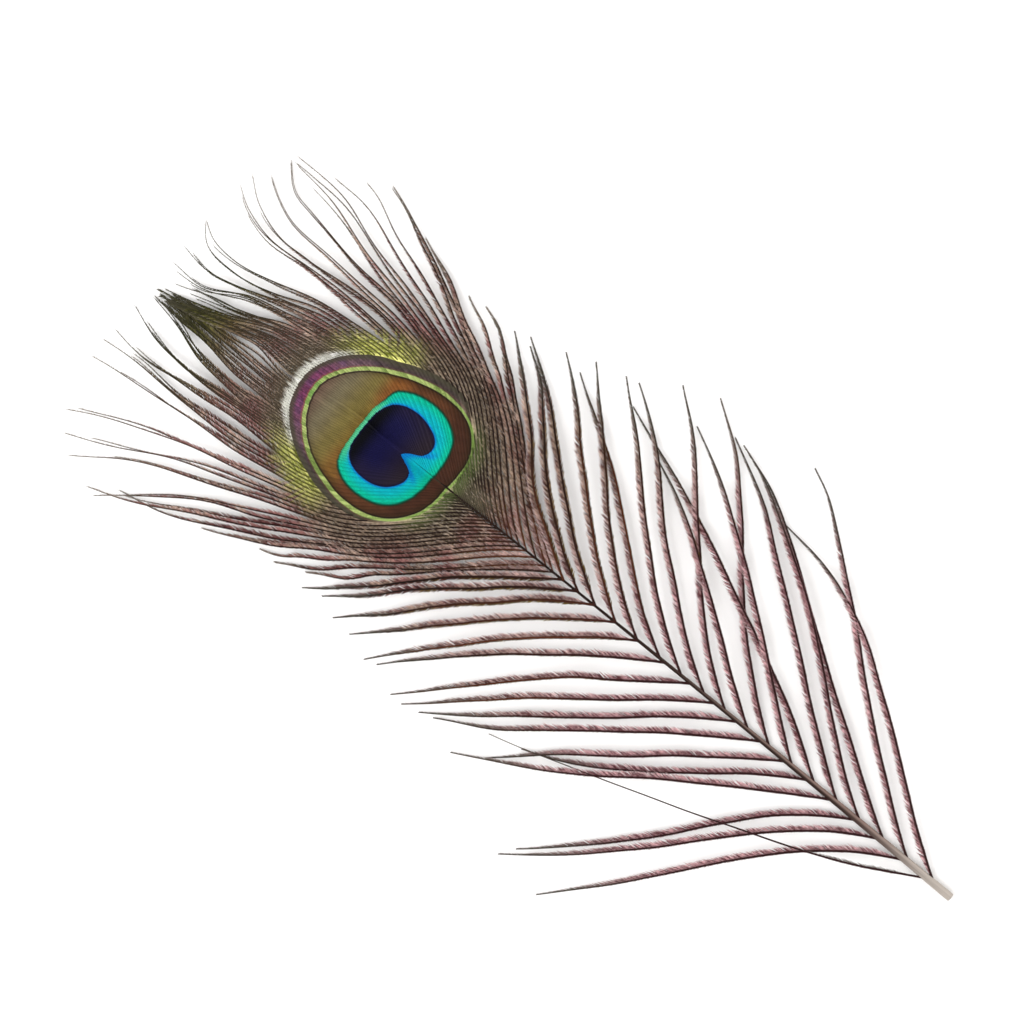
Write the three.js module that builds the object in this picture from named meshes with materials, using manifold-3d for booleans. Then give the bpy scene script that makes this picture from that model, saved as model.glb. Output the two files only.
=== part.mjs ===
// A peacock's eye feather, cut through the quill and lying on a table. Millimetres.
// +X runs from the cut quill to the tip of the fringe, +Y to the left vane, +Z up.
// Drawn with the cut end of the quill at x = 0 and the table at z = 0; the last lines centre it.
import * as THREE from 'three';
import { mergeVertices } from 'three/addons/utils/BufferGeometryUtils.js';
import Module from 'manifold-3d';

// Shaft: widest at the cut, then thinning until it ends inside the eye.
const SHAFT_LENGTH = 200;
const SHAFT_STEPS = 18;
const CUT_WIDTH = 2.4;
const END_WIDTH = 0.45;
const SHAFT_TAPER = 1.8;
const SHAFT_DEPTH = 1;
const SHAFT_BOW = 0.9;
const SHAFT_BOW_LENGTH = 215;
const CUT_OFFSET = 0.3;

// The quill lies flat on the table up to QUILL_REST; from there the shaft rises towards the eye.
const QUILL_REST = 45;
const SHAFT_CREST = 150;
const SHAFT_RISE = 2.5;

// Loose barbs: a rib with a wide blade on its forward side and a narrow one behind.
const BLADE_FORWARD = 1.8;
const BLADE_BACK = 0.45;
const BLADE_DEPTH = 0.45;
const BARB_STEPS = 10;
const BARB_LIFT = 2.8;
const BARB_LIFT_SWING = 1.1;
const BARE_ROOT = 0.12;
const TAPER_START = 0.55;
const TIP_SHARE = 0.16;

// Webbed vane round the eye, and the fringe that grows out of it.
const VANE_DEPTH = 0.35;
const VANE_HEIGHT = 2.7;
const VANE_DROOP = 1.3;
const VANE_HALF_WIDTH = 34;
const VANE_STEPS_ALONG = 18;
const VANE_STEPS_ACROSS = 8;
const FRINGE_STEPS = 9;
const FRINGE_DEPTH = 0.42;
const FRINGE_LIFT = 0.9;
const TIP_HEIGHT = 0.12;

// Where each loose barb of the left vane leaves the shaft and the way it runs to its tip.
const LEFT_BARBS = [
  [[16, 0], [30, 8.2], [42, 18.2], [57, 34.5], [72, 53.2], [88, 70.7]],
  [[25, 0], [38, 7.6], [50, 17.6], [62, 29.8], [76, 44.7], [90, 58.2], [103, 68.6]],
  [[33, 0], [44, 7], [52, 13.7], [62, 24.8], [76, 41.3], [88, 53.5], [100, 64.5]],
  [[41.5, 0], [55, 7.8], [70, 17], [85, 27], [100, 37.8], [114, 46.5], [130.5, 55.2]],
  [[50, 0], [62, 7.3], [73, 15.6], [84, 24.3], [95, 31.8], [106, 38.4], [116, 42.4]],
  [[58, 0], [70, 8], [82, 17], [94, 26.8], [105, 35.2], [115, 44], [122, 50.5]],
  [[66.5, 0], [80, 8.3], [95, 18.9], [110, 30.6], [125, 42.4], [140, 51]],
  [[75, 0], [88, 8.3], [100, 18.2], [112, 27.8], [125, 38], [136, 46.7], [144, 52.3]],
  [[83, 0], [95, 7.9], [108, 18.4], [121, 28.1], [134, 39.9], [149, 53.5]],
  [[91.5, 0], [104, 8.6], [117, 17.8], [130, 29.7], [142, 42.2], [153, 53.3]],
  [[100.5, 0], [113, 7.6], [125, 16.4], [138, 27], [150, 38.1], [161, 49.4]],
  [[110, 0], [120, 6.3], [132, 16], [143, 26.5], [153, 37.3], [164.7, 50.4]],
  [[118, 0], [130, 7.8], [141, 17], [152, 27.5], [162, 38], [172, 47.5]],
  [[125.5, 0], [137, 7], [148, 16.8], [158, 26.2], [168, 37.2], [178.3, 46.9]],
  [[131.5, 0], [144, 8.2], [156, 18.3], [167, 27.8], [176, 37.4], [184.3, 44.2]],
  [[136.5, 0], [150, 9.5], [163, 20.5], [175, 33], [184, 41], [190, 45.9]],
];

// The same for the right vane, where several barbs have slipped across their neighbours.
const RIGHT_BARBS = [
  [[6, 0], [20, -9.2], [35, -20.4], [50, -31.4], [62, -39.5], [74, -45.2], [86, -48.9], [99, -50.4]],
  [[15, 0], [27, -8.3], [40, -18.3], [55, -30.6], [70, -44], [84, -55.6], [94, -63.4], [102, -67.4]],
  [[23.5, 0], [35, -7.2], [50, -17], [65, -27], [80, -37.3], [95, -48.1], [107, -55], [118.5, -59.3]],
  [[32, 0], [44, -8], [56, -17.4], [70, -29.2], [84, -39.7], [98, -48.7], [110, -55.8], [121, -60]],
  [[40, 0], [52, -8.8], [65, -18.7], [80, -30.6], [94, -41.4], [108, -51.8], [124, -60.3]],
  [[48, 0], [62, -9.5], [78, -17.8], [95, -26], [112, -33.9], [129, -41.2], [151, -49.2]],
  [[56, 0], [68, -9.6], [82, -20.7], [96, -31.9], [110, -41.8], [122, -50], [134, -56]],
  [[64, 0], [76, -9.6], [87, -19.3], [98, -31.2], [110, -45.4], [121, -57], [134, -66]],
  [[71.5, 0], [85, -9.7], [100, -20.5], [114, -30.2], [126, -37.6], [137, -42.6]],
  [[79.5, 0], [91, -8.8], [102, -18.8], [112, -29.6], [122, -41], [132, -52.2], [144, -62.5]],
  [[87, 0], [100, -9.2], [113, -19.8], [125, -30.2], [136, -41.8], [145, -49.6], [153.8, -55.3]],
  [[95, 0], [107, -8.4], [119, -18], [131, -29.2], [142, -40.6], [157.5, -54.6]],
  [[102.5, 0], [115, -8.4], [128, -18.9], [140, -29], [152, -37.4], [168, -47.4]],
  [[110.5, 0], [122, -8.2], [133, -17.5], [144, -28.8], [155, -40.7], [166.5, -52.4]],
  [[118, 0], [130, -9], [142, -19.2], [153, -29.6], [164, -40.8], [174.3, -49.4]],
  [[125, 0], [138, -9], [150, -18.6], [162, -29.4], [173, -38.8], [184.5, -46.6]],
  [[131, 0], [143, -8], [155, -17.5], [166, -29], [175, -39], [183, -44.4]],
  [[136, 0], [148, -8], [158, -15], [168, -26], [179, -36.5], [189, -45]],
];

// One long bare barb has strayed across the left vane.
const STRAY_BARB = [[8, 0], [28, 10.5], [50, 19.3], [80, 29.8], [109, 39.7], [125.5, 44.7]];
const STRAY_SHARE = 0.4;
const STRAY_LIFT = 5.2;

// Locks of the fringe, round the eye from the left flank to the right one: width at the root, route.
const FRINGE = [
  [3, [[170, 26], [182, 35.5], [192, 41.5], [200.5, 45.3]]],
  [3, [[176, 27], [188, 35.5], [198, 42], [206, 45]]],
  [3.5, [[184, 30], [196, 38.5], [208, 45], [222, 50.2]]],
  [3.5, [[188, 31], [202, 40.2], [218, 47.8], [234, 54.2], [246, 56.8]]],
  [3.5, [[190, 29.5], [206, 38.5], [222, 46.5], [238, 55], [253.5, 61.2]]],
  [3.5, [[193, 28.5], [209, 36.2], [224, 43], [238, 52], [250.5, 62.4]]],
  [2.6, [[197, 28], [213, 33.5], [233, 41.3], [250, 49], [262.5, 57.8]]],
  [2.8, [[201, 27], [217, 32.3], [236, 38.8], [252, 46.8], [267.3, 53.8]]],
  [1.2, [[205, 26], [222, 30.6], [240, 35.6], [256, 41.2], [270.8, 48.6]]],
  [1.5, [[209, 25.5], [226, 27.5], [244, 29.2], [258, 30.4], [274.5, 32.8]]],
  [4, [[212, 23.5], [228, 25], [246, 26.3], [262, 25.7], [275, 27]]],
  [3, [[217, 20.5], [232, 20.6], [248, 22.4], [262, 23.8], [274, 22.6]]],
  [2, [[221, 17.5], [236, 18.2], [250, 19.2], [262, 18], [274, 14.5]]],
  [3.5, [[223.5, 14.5], [238, 15.3], [250, 14.3], [260, 11.6], [271, 9]]],
  [3.5, [[226, 10.5], [240, 10.6], [254, 9.6], [271.5, 8.7]]],
  [3.5, [[227.5, 6.5], [242, 6.8], [256, 6.8], [270, 6.9]]],
  [3.5, [[228, 2.5], [242, 3.3], [256, 5.2], [268, 5.2]]],
  [3.5, [[227.5, -1.5], [241, 0], [254, 3.8], [264, 4.2], [272.3, 1.5]]],
  [3.5, [[226.5, -5], [240, -3], [252, 1.5], [262, 3], [271, 0.8]]],
  [3.5, [[225, -8.5], [238, -6], [250, -1.8], [262, -0.5]]],
  [3, [[223, -12], [236, -9.8], [250, -6.5], [262, -0.8], [273, -0.4]]],
  [3, [[220.5, -15], [234, -13], [248, -9], [264, -4.6], [273.5, -6.2]]],
  [3, [[217.5, -17.5], [232, -15.8], [246, -11.5], [258, -8.9], [268, -10], [273.3, -15.2]]],
  [2, [[214, -19.3], [232, -17.8], [248, -14.1], [260, -11.6], [268, -12.4], [273.5, -15.8]]],
  [2.6, [[209, -21.5], [225, -22.6], [243, -22.9], [257, -22.2], [266, -24.8], [272.3, -29]]],
  [1.4, [[206, -23.5], [222, -25.8], [243, -24.6], [256, -24.7], [265, -28], [271.5, -33.5]]],
  [2.8, [[204, -25], [221, -27.6], [241, -28.6], [254, -29.8], [262, -32.8], [267.5, -36]]],
  [1.8, [[201, -26.5], [218, -30.2], [236, -32.2], [252, -35], [259, -37], [265.5, -43]]],
  [2.6, [[199, -27.5], [215, -31.3], [232, -35.6], [250, -40.8], [263.7, -43]]],
  [2.4, [[196, -28.5], [213, -33.5], [232, -38.6], [247, -43.4], [258, -44.6], [265, -44.8]]],
  [2.4, [[194, -29.5], [212, -36], [229, -41.8], [243, -46.2], [253.5, -46.8]]],
  [2.2, [[192, -30.5], [210, -38], [228, -44.2], [240, -49.6], [246, -51]]],
  [4, [[189, -31], [206, -40.2], [220, -46.4], [232, -52], [240, -54.5]]],
  [3.5, [[184, -30.5], [198, -38.8], [212, -45.8], [224, -49.4]]],
  [3, [[180, -31], [190, -37.5], [199, -42.3], [204.8, -44.8]]],
  [2.5, [[175, -29], [184, -36.5], [192, -42.5], [199.5, -45.5]]],
];

// The two edges of the webbed vane, in step with each other from the shaft to the tip of the eye.
const VANE_LEFT_EDGE = [
  [131, 0.4], [144, 7.5], [156, 17.5], [167, 26.5], [178, 32.5], [188, 34],
  [198, 31.5], [208, 27], [217, 21.5], [224, 14], [228, 6],
];
const VANE_RIGHT_EDGE = [
  [131, -1.6], [143, -6.5], [155, -13.5], [166, -23], [176, -29.5], [186, -32],
  [196, -30.5], [206, -25.5], [215, -19.5], [223, -12], [228, -3],
];

const { smoothstep } = THREE.MathUtils;

// Heights and widths along the shaft, and the height of the webbed vane over the table.
const shaftWidth = (x) => END_WIDTH + (CUT_WIDTH - END_WIDTH) * (1 - x / SHAFT_LENGTH) ** SHAFT_TAPER;
const shaftUnderside = (x) => SHAFT_RISE * smoothstep(x, QUILL_REST, SHAFT_CREST);
const shaftMiddle = (x) => CUT_OFFSET - SHAFT_BOW * Math.sin(Math.PI * x / SHAFT_BOW_LENGTH);
const vaneHeight = (y) => VANE_HEIGHT - VANE_DROOP * (y / VANE_HALF_WIDTH) ** 2;

function routeOf(points) {
  return new THREE.CatmullRomCurve3(points.map(([x, y]) => new THREE.Vector3(x, y, 0)));
}

// A closed skin along x: a hexagon with a flat underside, set out anew at every step.
function makeShaft() {
  const geometry = new THREE.CylinderGeometry(1, 1, SHAFT_LENGTH, 6, SHAFT_STEPS);
  geometry.rotateZ(-Math.PI / 2);
  geometry.rotateX(Math.PI / 2);
  const position = geometry.attributes.position;
  for (let i = 0; i < position.count; i += 1) {
    const x = position.getX(i) + SHAFT_LENGTH / 2;
    const width = shaftWidth(x);
    const y = shaftMiddle(x) + position.getY(i) * width / 2;
    const z = shaftUnderside(x) + (position.getZ(i) / Math.cos(Math.PI / 6) + 1) * SHAFT_DEPTH * width / 2;
    position.setXYZ(i, x, y, z);
  }
  return geometry;
}

// A flattened, four-sided blade swept along a route, wider on one side of its rib than on the other.
function makeBlade(points, steps, leftWidth, rightWidth, depth, share, height) {
  const route = routeOf(points);
  const geometry = new THREE.CylinderGeometry(1, 1, 1, 4, steps);
  const position = geometry.attributes.position;
  const up = new THREE.Vector3(0, 0, 1);
  for (let i = 0; i < position.count; i += 1) {
    const along = 0.5 - position.getY(i);
    const point = route.getPointAt(along);
    const left = up.clone().cross(route.getTangentAt(along));
    const size = share(along);
    const sideways = position.getX(i) * (position.getX(i) > 0 ? leftWidth : rightWidth) * size;
    const thickness = position.getZ(i) * depth * Math.sqrt(size);
    position.setXYZ(
      i,
      point.x + left.x * sideways,
      point.y + left.y * sideways,
      height(along, point) + thickness,
    );
  }
  return geometry;
}

// Share of a barb's full width: bare at the root, full in the middle, fine at the tip.
function barbShare(along) {
  const opened = 0.35 + 0.65 * smoothstep(along, 0, BARE_ROOT);
  return opened * (1 - (1 - TIP_SHARE) * smoothstep(along, TAPER_START, 1));
}

// A loose barb leaves the middle of the shaft, arches up and comes down to the table at its tip.
function makeBarb(points, widthShare, lift) {
  const [baseX] = points[0];
  const rootHeight = shaftUnderside(baseX) + SHAFT_DEPTH * shaftWidth(baseX) / 2;
  const tipHeight = BLADE_DEPTH * Math.sqrt(TIP_SHARE * widthShare) + 0.01;
  const height = (along) => THREE.MathUtils.lerp(rootHeight, tipHeight, along ** 2)
    + lift * Math.sin(Math.PI * along);
  const route = [[baseX, shaftMiddle(baseX)], ...points.slice(1)];
  const onLeft = points[1][1] > 0;
  const [left, right] = onLeft ? [BLADE_BACK, BLADE_FORWARD] : [BLADE_FORWARD, BLADE_BACK];
  const share = (along) => widthShare * barbShare(along);
  return makeBlade(route, BARB_STEPS, left, right, BLADE_DEPTH, share, height);
}

// A lock of the fringe starts inside the webbed vane and sinks to the table at its tip.
function makeFringeLock(width, points) {
  const [, rootY] = points[0];
  const share = (along) => 1 - (1 - TIP_SHARE) * smoothstep(along, 0.1, 1);
  const height = (along) => THREE.MathUtils.lerp(vaneHeight(rootY), TIP_HEIGHT, along ** 1.5)
    + FRINGE_DEPTH * Math.sqrt(TIP_SHARE) * along
    + FRINGE_LIFT * Math.sin(Math.PI * along);
  return makeBlade(points, FRINGE_STEPS, width / 2, width / 2, FRINGE_DEPTH, share, height);
}

// The webbed vane: a thin plate between its two edges, arched like a shallow roof.
function makeVane() {
  const leftEdge = new THREE.SplineCurve(VANE_LEFT_EDGE.map(([x, y]) => new THREE.Vector2(x, y)));
  const rightEdge = new THREE.SplineCurve(VANE_RIGHT_EDGE.map(([x, y]) => new THREE.Vector2(x, y)));
  const geometry = new THREE.BoxGeometry(1, 1, 1, VANE_STEPS_ALONG, VANE_STEPS_ACROSS, 1);
  const position = geometry.attributes.position;
  for (let i = 0; i < position.count; i += 1) {
    const along = position.getX(i) + 0.5;
    const across = position.getY(i) + 0.5;
    const place = rightEdge.getPoint(along).lerp(leftEdge.getPoint(along), across);
    const side = Math.sign(position.getZ(i));
    position.setXYZ(i, place.x, place.y, vaneHeight(place.y) + side * VANE_DEPTH);
  }
  return geometry;
}

const wasm = await Module();
wasm.setup();

// A closed three.js geometry as a manifold solid.
function toSolid(geometry) {
  geometry.deleteAttribute('normal');
  geometry.deleteAttribute('uv');
  const merged = mergeVertices(geometry, 1e-5);
  return new wasm.Manifold(new wasm.Mesh({
    numProp: 3,
    vertProperties: new Float32Array(merged.attributes.position.array),
    triVerts: new Uint32Array(merged.index.array),
  }));
}

// The feather grew as one piece, so its shaft, barbs, vane and fringe become one solid.
function joinAll(geometries) {
  const joined = geometries.map(toSolid).reduce((whole, piece) => whole.add(piece));
  const mesh = joined.getMesh();
  const geometry = new THREE.BufferGeometry();
  geometry.setAttribute('position', new THREE.BufferAttribute(mesh.vertProperties, 3));
  geometry.setIndex(new THREE.BufferAttribute(mesh.triVerts, 1));
  geometry.computeVertexNormals();
  return geometry;
}

const barbs = [...LEFT_BARBS, ...RIGHT_BARBS].map((points, index) => (
  makeBarb(points, 1, BARB_LIFT + BARB_LIFT_SWING * Math.sin(2.4 * index))
));
const fringe = FRINGE.map(([width, points]) => makeFringeLock(width, points));
const stray = makeBarb(STRAY_BARB, STRAY_SHARE, STRAY_LIFT);

const feather = new THREE.Mesh(
  joinAll([makeShaft(), makeVane(), ...barbs, stray, ...fringe]),
  new THREE.MeshStandardMaterial({ color: 0x6b4a44, roughness: 0.6, metalness: 0.1 }),
);
feather.name = 'feather';

// The origin is under the middle of the feather, on the table.
const box = new THREE.Box3().setFromObject(feather);
const centre = box.getCenter(new THREE.Vector3());
feather.geometry.translate(-centre.x, -centre.y, -box.min.z);

const group = new THREE.Group();
group.add(feather);

export default group;
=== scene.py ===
"""Dresses the peacock feather: its shaft, loose barbs, webbed eye and fringe.

Lengths inside the classes are millimetres in the feather's own frame, with x from the cut quill to
the tip of the fringe, y to the left vane and z up from the table. Ground.to_row turns them into metres.
"""

import logging
import math
from dataclasses import dataclass, field
from enum import Enum
from typing import Callable, Sequence

import bpy
import numpy as np
from mathutils import Matrix, Vector

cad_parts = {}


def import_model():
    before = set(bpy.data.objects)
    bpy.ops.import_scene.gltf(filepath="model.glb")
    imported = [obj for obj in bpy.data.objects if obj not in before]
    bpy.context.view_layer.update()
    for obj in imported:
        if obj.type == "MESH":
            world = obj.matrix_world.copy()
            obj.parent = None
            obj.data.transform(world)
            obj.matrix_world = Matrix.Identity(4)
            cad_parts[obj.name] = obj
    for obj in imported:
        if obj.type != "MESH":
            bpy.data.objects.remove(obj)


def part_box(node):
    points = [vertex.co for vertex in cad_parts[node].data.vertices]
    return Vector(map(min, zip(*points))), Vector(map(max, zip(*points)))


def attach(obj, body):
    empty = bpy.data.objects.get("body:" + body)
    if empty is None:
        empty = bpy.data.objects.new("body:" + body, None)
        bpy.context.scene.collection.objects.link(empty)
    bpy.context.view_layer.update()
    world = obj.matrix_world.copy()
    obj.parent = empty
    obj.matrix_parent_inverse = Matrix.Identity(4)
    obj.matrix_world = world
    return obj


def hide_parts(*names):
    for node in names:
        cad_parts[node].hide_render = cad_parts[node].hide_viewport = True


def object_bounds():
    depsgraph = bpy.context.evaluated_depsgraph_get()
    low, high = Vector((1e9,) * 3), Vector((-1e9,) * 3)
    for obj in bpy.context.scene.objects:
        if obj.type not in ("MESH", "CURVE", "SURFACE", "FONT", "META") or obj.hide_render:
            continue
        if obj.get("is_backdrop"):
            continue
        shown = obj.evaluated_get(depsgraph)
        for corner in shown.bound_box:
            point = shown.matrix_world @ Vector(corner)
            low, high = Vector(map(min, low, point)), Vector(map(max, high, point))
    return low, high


Array = np.ndarray
Socket = bpy.types.NodeSocket
Value = float | Socket
Row = Sequence[Sequence[float]]

LOG = logging.getLogger("feather")
MM = 0.001
CAD_NODE = "feather"
BODY = "root"
BAKE_MAP = "OFBake"
UP = np.array([0.0, 0.0, 1.0])
SEED = 27

# Close-set barbs that leave the shaft before this x belong to the flank, the others to the fringe.
FLANK_END = 165.0

# How far the longest left barb reaches from the line of the shaft: it ties the frames together.
LEFT_REACH = 70.748

# Where each loose barb leaves the shaft and the way it runs to its tip, as in the solid feather.
LEFT_BARBS = [
    [[16, 0], [30, 8.2], [42, 18.2], [57, 34.5], [72, 53.2], [88, 70.7]],
    [[25, 0], [38, 7.6], [50, 17.6], [62, 29.8], [76, 44.7], [90, 58.2], [103, 68.6]],
    [[33, 0], [44, 7], [52, 13.7], [62, 24.8], [76, 41.3], [88, 53.5], [100, 64.5]],
    [[41.5, 0], [55, 7.8], [70, 17], [85, 27], [100, 37.8], [114, 46.5], [130.5, 55.2]],
    [[50, 0], [62, 7.3], [73, 15.6], [84, 24.3], [95, 31.8], [106, 38.4], [116, 42.4]],
    [[58, 0], [70, 8], [82, 17], [94, 26.8], [105, 35.2], [115, 44], [122, 50.5]],
    [[66.5, 0], [80, 8.3], [95, 18.9], [110, 30.6], [125, 42.4], [140, 51]],
    [[75, 0], [88, 8.3], [100, 18.2], [112, 27.8], [125, 38], [136, 46.7], [144, 52.3]],
    [[83, 0], [95, 7.9], [108, 18.4], [121, 28.1], [134, 39.9], [149, 53.5]],
    [[91.5, 0], [104, 8.6], [117, 17.8], [130, 29.7], [142, 42.2], [153, 53.3]],
    [[100.5, 0], [113, 7.6], [125, 16.4], [138, 27], [150, 38.1], [161, 49.4]],
    [[110, 0], [120, 6.3], [132, 16], [143, 26.5], [153, 37.3], [164.7, 50.4]],
    [[118, 0], [130, 7.8], [141, 17], [152, 27.5], [162, 38], [172, 47.5]],
    [[125.5, 0], [137, 7], [148, 16.8], [158, 26.2], [168, 37.2], [178.3, 46.9]],
    [[131.5, 0], [144, 8.2], [156, 18.3], [167, 27.8], [176, 37.4], [184.3, 44.2]],
    [[136.5, 0], [150, 9.5], [163, 20.5], [175, 33], [184, 41], [190, 45.9]],
]
RIGHT_BARBS = [
    [[6, 0], [20, -9.2], [35, -20.4], [50, -31.4], [62, -39.5], [74, -45.2], [86, -48.9], [99, -50.4]],
    [[15, 0], [27, -8.3], [40, -18.3], [55, -30.6], [70, -44], [84, -55.6], [94, -63.4], [102, -67.4]],
    [[23.5, 0], [35, -7.2], [50, -17], [65, -27], [80, -37.3], [95, -48.1], [107, -55], [118.5, -59.3]],
    [[32, 0], [44, -8], [56, -17.4], [70, -29.2], [84, -39.7], [98, -48.7], [110, -55.8], [121, -60]],
    [[40, 0], [52, -8.8], [65, -18.7], [80, -30.6], [94, -41.4], [108, -51.8], [124, -60.3]],
    [[48, 0], [62, -9.5], [78, -17.8], [95, -26], [112, -33.9], [129, -41.2], [151, -49.2]],
    [[56, 0], [68, -9.6], [82, -20.7], [96, -31.9], [110, -41.8], [122, -50], [134, -56]],
    [[64, 0], [76, -9.6], [87, -19.3], [98, -31.2], [110, -45.4], [121, -57], [134, -66]],
    [[71.5, 0], [85, -9.7], [100, -20.5], [114, -30.2], [126, -37.6], [137, -42.6]],
    [[79.5, 0], [91, -8.8], [102, -18.8], [112, -29.6], [122, -41], [132, -52.2], [144, -62.5]],
    [[87, 0], [100, -9.2], [113, -19.8], [125, -30.2], [136, -41.8], [145, -49.6], [153.8, -55.3]],
    [[95, 0], [107, -8.4], [119, -18], [131, -29.2], [142, -40.6], [157.5, -54.6]],
    [[102.5, 0], [115, -8.4], [128, -18.9], [140, -29], [152, -37.4], [168, -47.4]],
    [[110.5, 0], [122, -8.2], [133, -17.5], [144, -28.8], [155, -40.7], [166.5, -52.4]],
    [[118, 0], [130, -9], [142, -19.2], [153, -29.6], [164, -40.8], [174.3, -49.4]],
    [[125, 0], [138, -9], [150, -18.6], [162, -29.4], [173, -38.8], [184.5, -46.6]],
    [[131, 0], [143, -8], [155, -17.5], [166, -29], [175, -39], [183, -44.4]],
    [[136, 0], [148, -8], [158, -15], [168, -26], [179, -36.5], [189, -45]],
]
STRAY_BARB = [[8, 0], [28, 10.5], [50, 19.3], [80, 29.8], [109, 39.7], [125.5, 44.7]]

# Locks of the fringe from the flank inwards: width at the root, then the route to the tip.
LEFT_FRINGE = [
    [1.6, [[169, 23.2], [175, 29], [181.7, 35.7], [185.8, 38.6], [192, 42]]],
    [2, [[172.5, 25], [178, 29], [184.7, 34.9], [193, 41.4], [200.5, 45.3]]],
    [2.4, [[177, 26.5], [187.3, 33.8], [194, 38.6], [199.5, 42.5], [206, 45]]],
    [3.2, [[183, 28], [196, 36.2], [208, 44], [222, 50.2]]],
    [3.5, [[187, 29], [202, 38.6], [218, 47.2], [234, 54.2], [246, 56.8]]],
    [3.5, [[190, 29], [206, 37.8], [222, 46.3], [238, 55], [253.5, 61.2]]],
    [3.5, [[194, 28.8], [209, 36.2], [224, 43], [238, 52], [250.5, 62.4]]],
    [2.6, [[197.5, 28], [213, 33.5], [233, 41.3], [250, 49], [262.5, 57.8]]],
    [2.8, [[201, 27], [217, 32.3], [236, 38.8], [252, 46.8], [267.3, 53.8]]],
    [1.2, [[205, 26], [222, 30.6], [240, 35.6], [256, 41.2], [270.8, 48.6]]],
    [1.5, [[209, 25.5], [226, 27.5], [244, 29.2], [258, 30.4], [274.5, 32.8]]],
    [4, [[212, 23.5], [228, 25], [246, 26.3], [262, 25.7], [275, 27]]],
    [3, [[217, 20.5], [232, 20.6], [248, 22.4], [262, 23.8], [274, 22.6]]],
    [2, [[221, 17.5], [236, 18.2], [250, 19.2], [262, 18], [274, 14.5]]],
    [3.5, [[223.5, 14.5], [238, 15.3], [250, 14.3], [260, 11.6], [271, 9]]],
    [3.5, [[226, 10.5], [240, 10.6], [254, 9.6], [271.5, 8.7]]],
    [3.5, [[227.5, 6.5], [242, 6.8], [256, 6.8], [270, 6.9]]],
    [3.5, [[228, 2.5], [242, 3.3], [256, 5.2], [268, 5.2]]],
]
RIGHT_FRINGE = [
    [2.2, [[173, -26], [184, -36.2], [192, -42.2], [199.5, -45.5]]],
    [2.6, [[178, -28.2], [190, -36.8], [198.5, -42], [204.8, -44.8]]],
    [3.5, [[184, -29.6], [198, -36.6], [212, -44.6], [224, -49.4]]],
    [4, [[189, -30.2], [206, -39.6], [220, -46.4], [232, -52], [240, -54.5]]],
    [2.2, [[192, -30], [210, -38], [228, -44.2], [240, -49.6], [246, -51]]],
    [2.4, [[194, -29.5], [212, -36], [229, -41.8], [243, -46.2], [253.5, -46.8]]],
    [2.4, [[196, -28.5], [213, -33.5], [232, -38.6], [247, -43.4], [258, -44.6], [265, -44.8]]],
    [2.6, [[199, -27.5], [215, -31.3], [232, -35.6], [250, -40.8], [263.7, -43]]],
    [1.8, [[201, -26.5], [218, -30.2], [236, -32.2], [252, -35], [259, -37], [265.5, -43]]],
    [2.8, [[204, -25], [221, -27.6], [241, -28.6], [254, -29.8], [262, -32.8], [267.5, -36]]],
    [1.4, [[206, -23.5], [222, -25.8], [243, -24.6], [256, -24.7], [265, -28], [271.5, -33.5]]],
    [2.6, [[209, -21.5], [225, -22.6], [243, -22.9], [257, -22.2], [266, -24.8], [272.3, -29]]],
    [2, [[214, -19.3], [232, -17.8], [248, -14.1], [260, -11.6], [268, -12.4], [273.5, -15.8]]],
    [3, [[217.5, -17.5], [232, -15.8], [246, -11.5], [258, -8.9], [268, -10], [273.3, -15.2]]],
    [3, [[220.5, -15], [234, -13], [248, -9], [264, -4.6], [273.5, -6.2]]],
    [3, [[223, -12], [236, -9.8], [250, -6.5], [262, -0.8], [273, -0.4]]],
    [3.5, [[225, -8.5], [238, -6], [250, -1.8], [260, 0.6], [269, 3.6]]],
    [3.5, [[226.5, -5], [240, -3], [252, 1.5], [262, 5], [270.5, 6.6]]],
    [3.5, [[227.5, -1.5], [241, 0], [254, 3.8], [263, 6.4], [271.6, 8.4]]],
]

# The rim of the webbed vane from the flank to the tip of the eye: x, y, and the foot on the shaft of
# the barb that ends there.
LEFT_RIM = [
    [168, 23.5, 138.6], [176, 26.2, 145], [184, 28.6, 150.5], [191, 29, 155.5], [198, 27.8, 161.5],
    [205, 26, 167], [212, 23.2, 172], [218, 19.5, 177], [223.5, 14.2, 182.5], [226.8, 8.5, 189],
    [228, 3.6, 199],
]
RIGHT_RIM = [
    [169, -24.8, 138.4], [177, -28, 144.5], [184, -29.6, 150], [190, -30.2, 155.5], [197, -28.6, 161.5],
    [204, -25.2, 167], [210, -21.3, 171.5], [216, -18.2, 176], [221, -14.6, 181], [225, -8.5, 188],
    [228, 2.4, 199],
]

# The eye's outlines as radii in millimetres round its centre, by the angle in degrees from the way to
# the tip, positive towards the left vane.
EYE_CENTRE = (196.0, 0.6)
EYE_ANGLES = list(range(-180, 181, 15))
FIELD_RADII = [19.4, 20.6, 22.1, 22.5, 21.8, 20.35, 19.2, 18.6, 18.7, 19.8, 21.4, 23.3, 24.6, 24.0, 22.55,
               21.1, 19.8, 19.2, 19.2, 19.5, 19.9, 20.05, 20.05, 19.75, 19.4]
VIOLET_RADII = [19.4, 20.5, 22.3, 24.0, 24.6, 24.2, 23.2, 22.5, 22.6, 24.2, 26.2, 28.3, 29.6, 29.2, 27.1,
                24.9, 23.3, 22.4, 22.0, 21.9, 21.4, 20.6, 20.2, 19.7, 19.4]
SEA_RADII = [15.0, 15.65, 16.7, 17.7, 17.4, 16.7, 15.95, 15.35, 14.6, 12.1, 10.8, 9.8, 9.4, 9.8, 10.7,
             12.7, 14.9, 15.65, 15.95, 16.2, 16.5, 16.4, 15.95, 15.35, 15.0]
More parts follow.
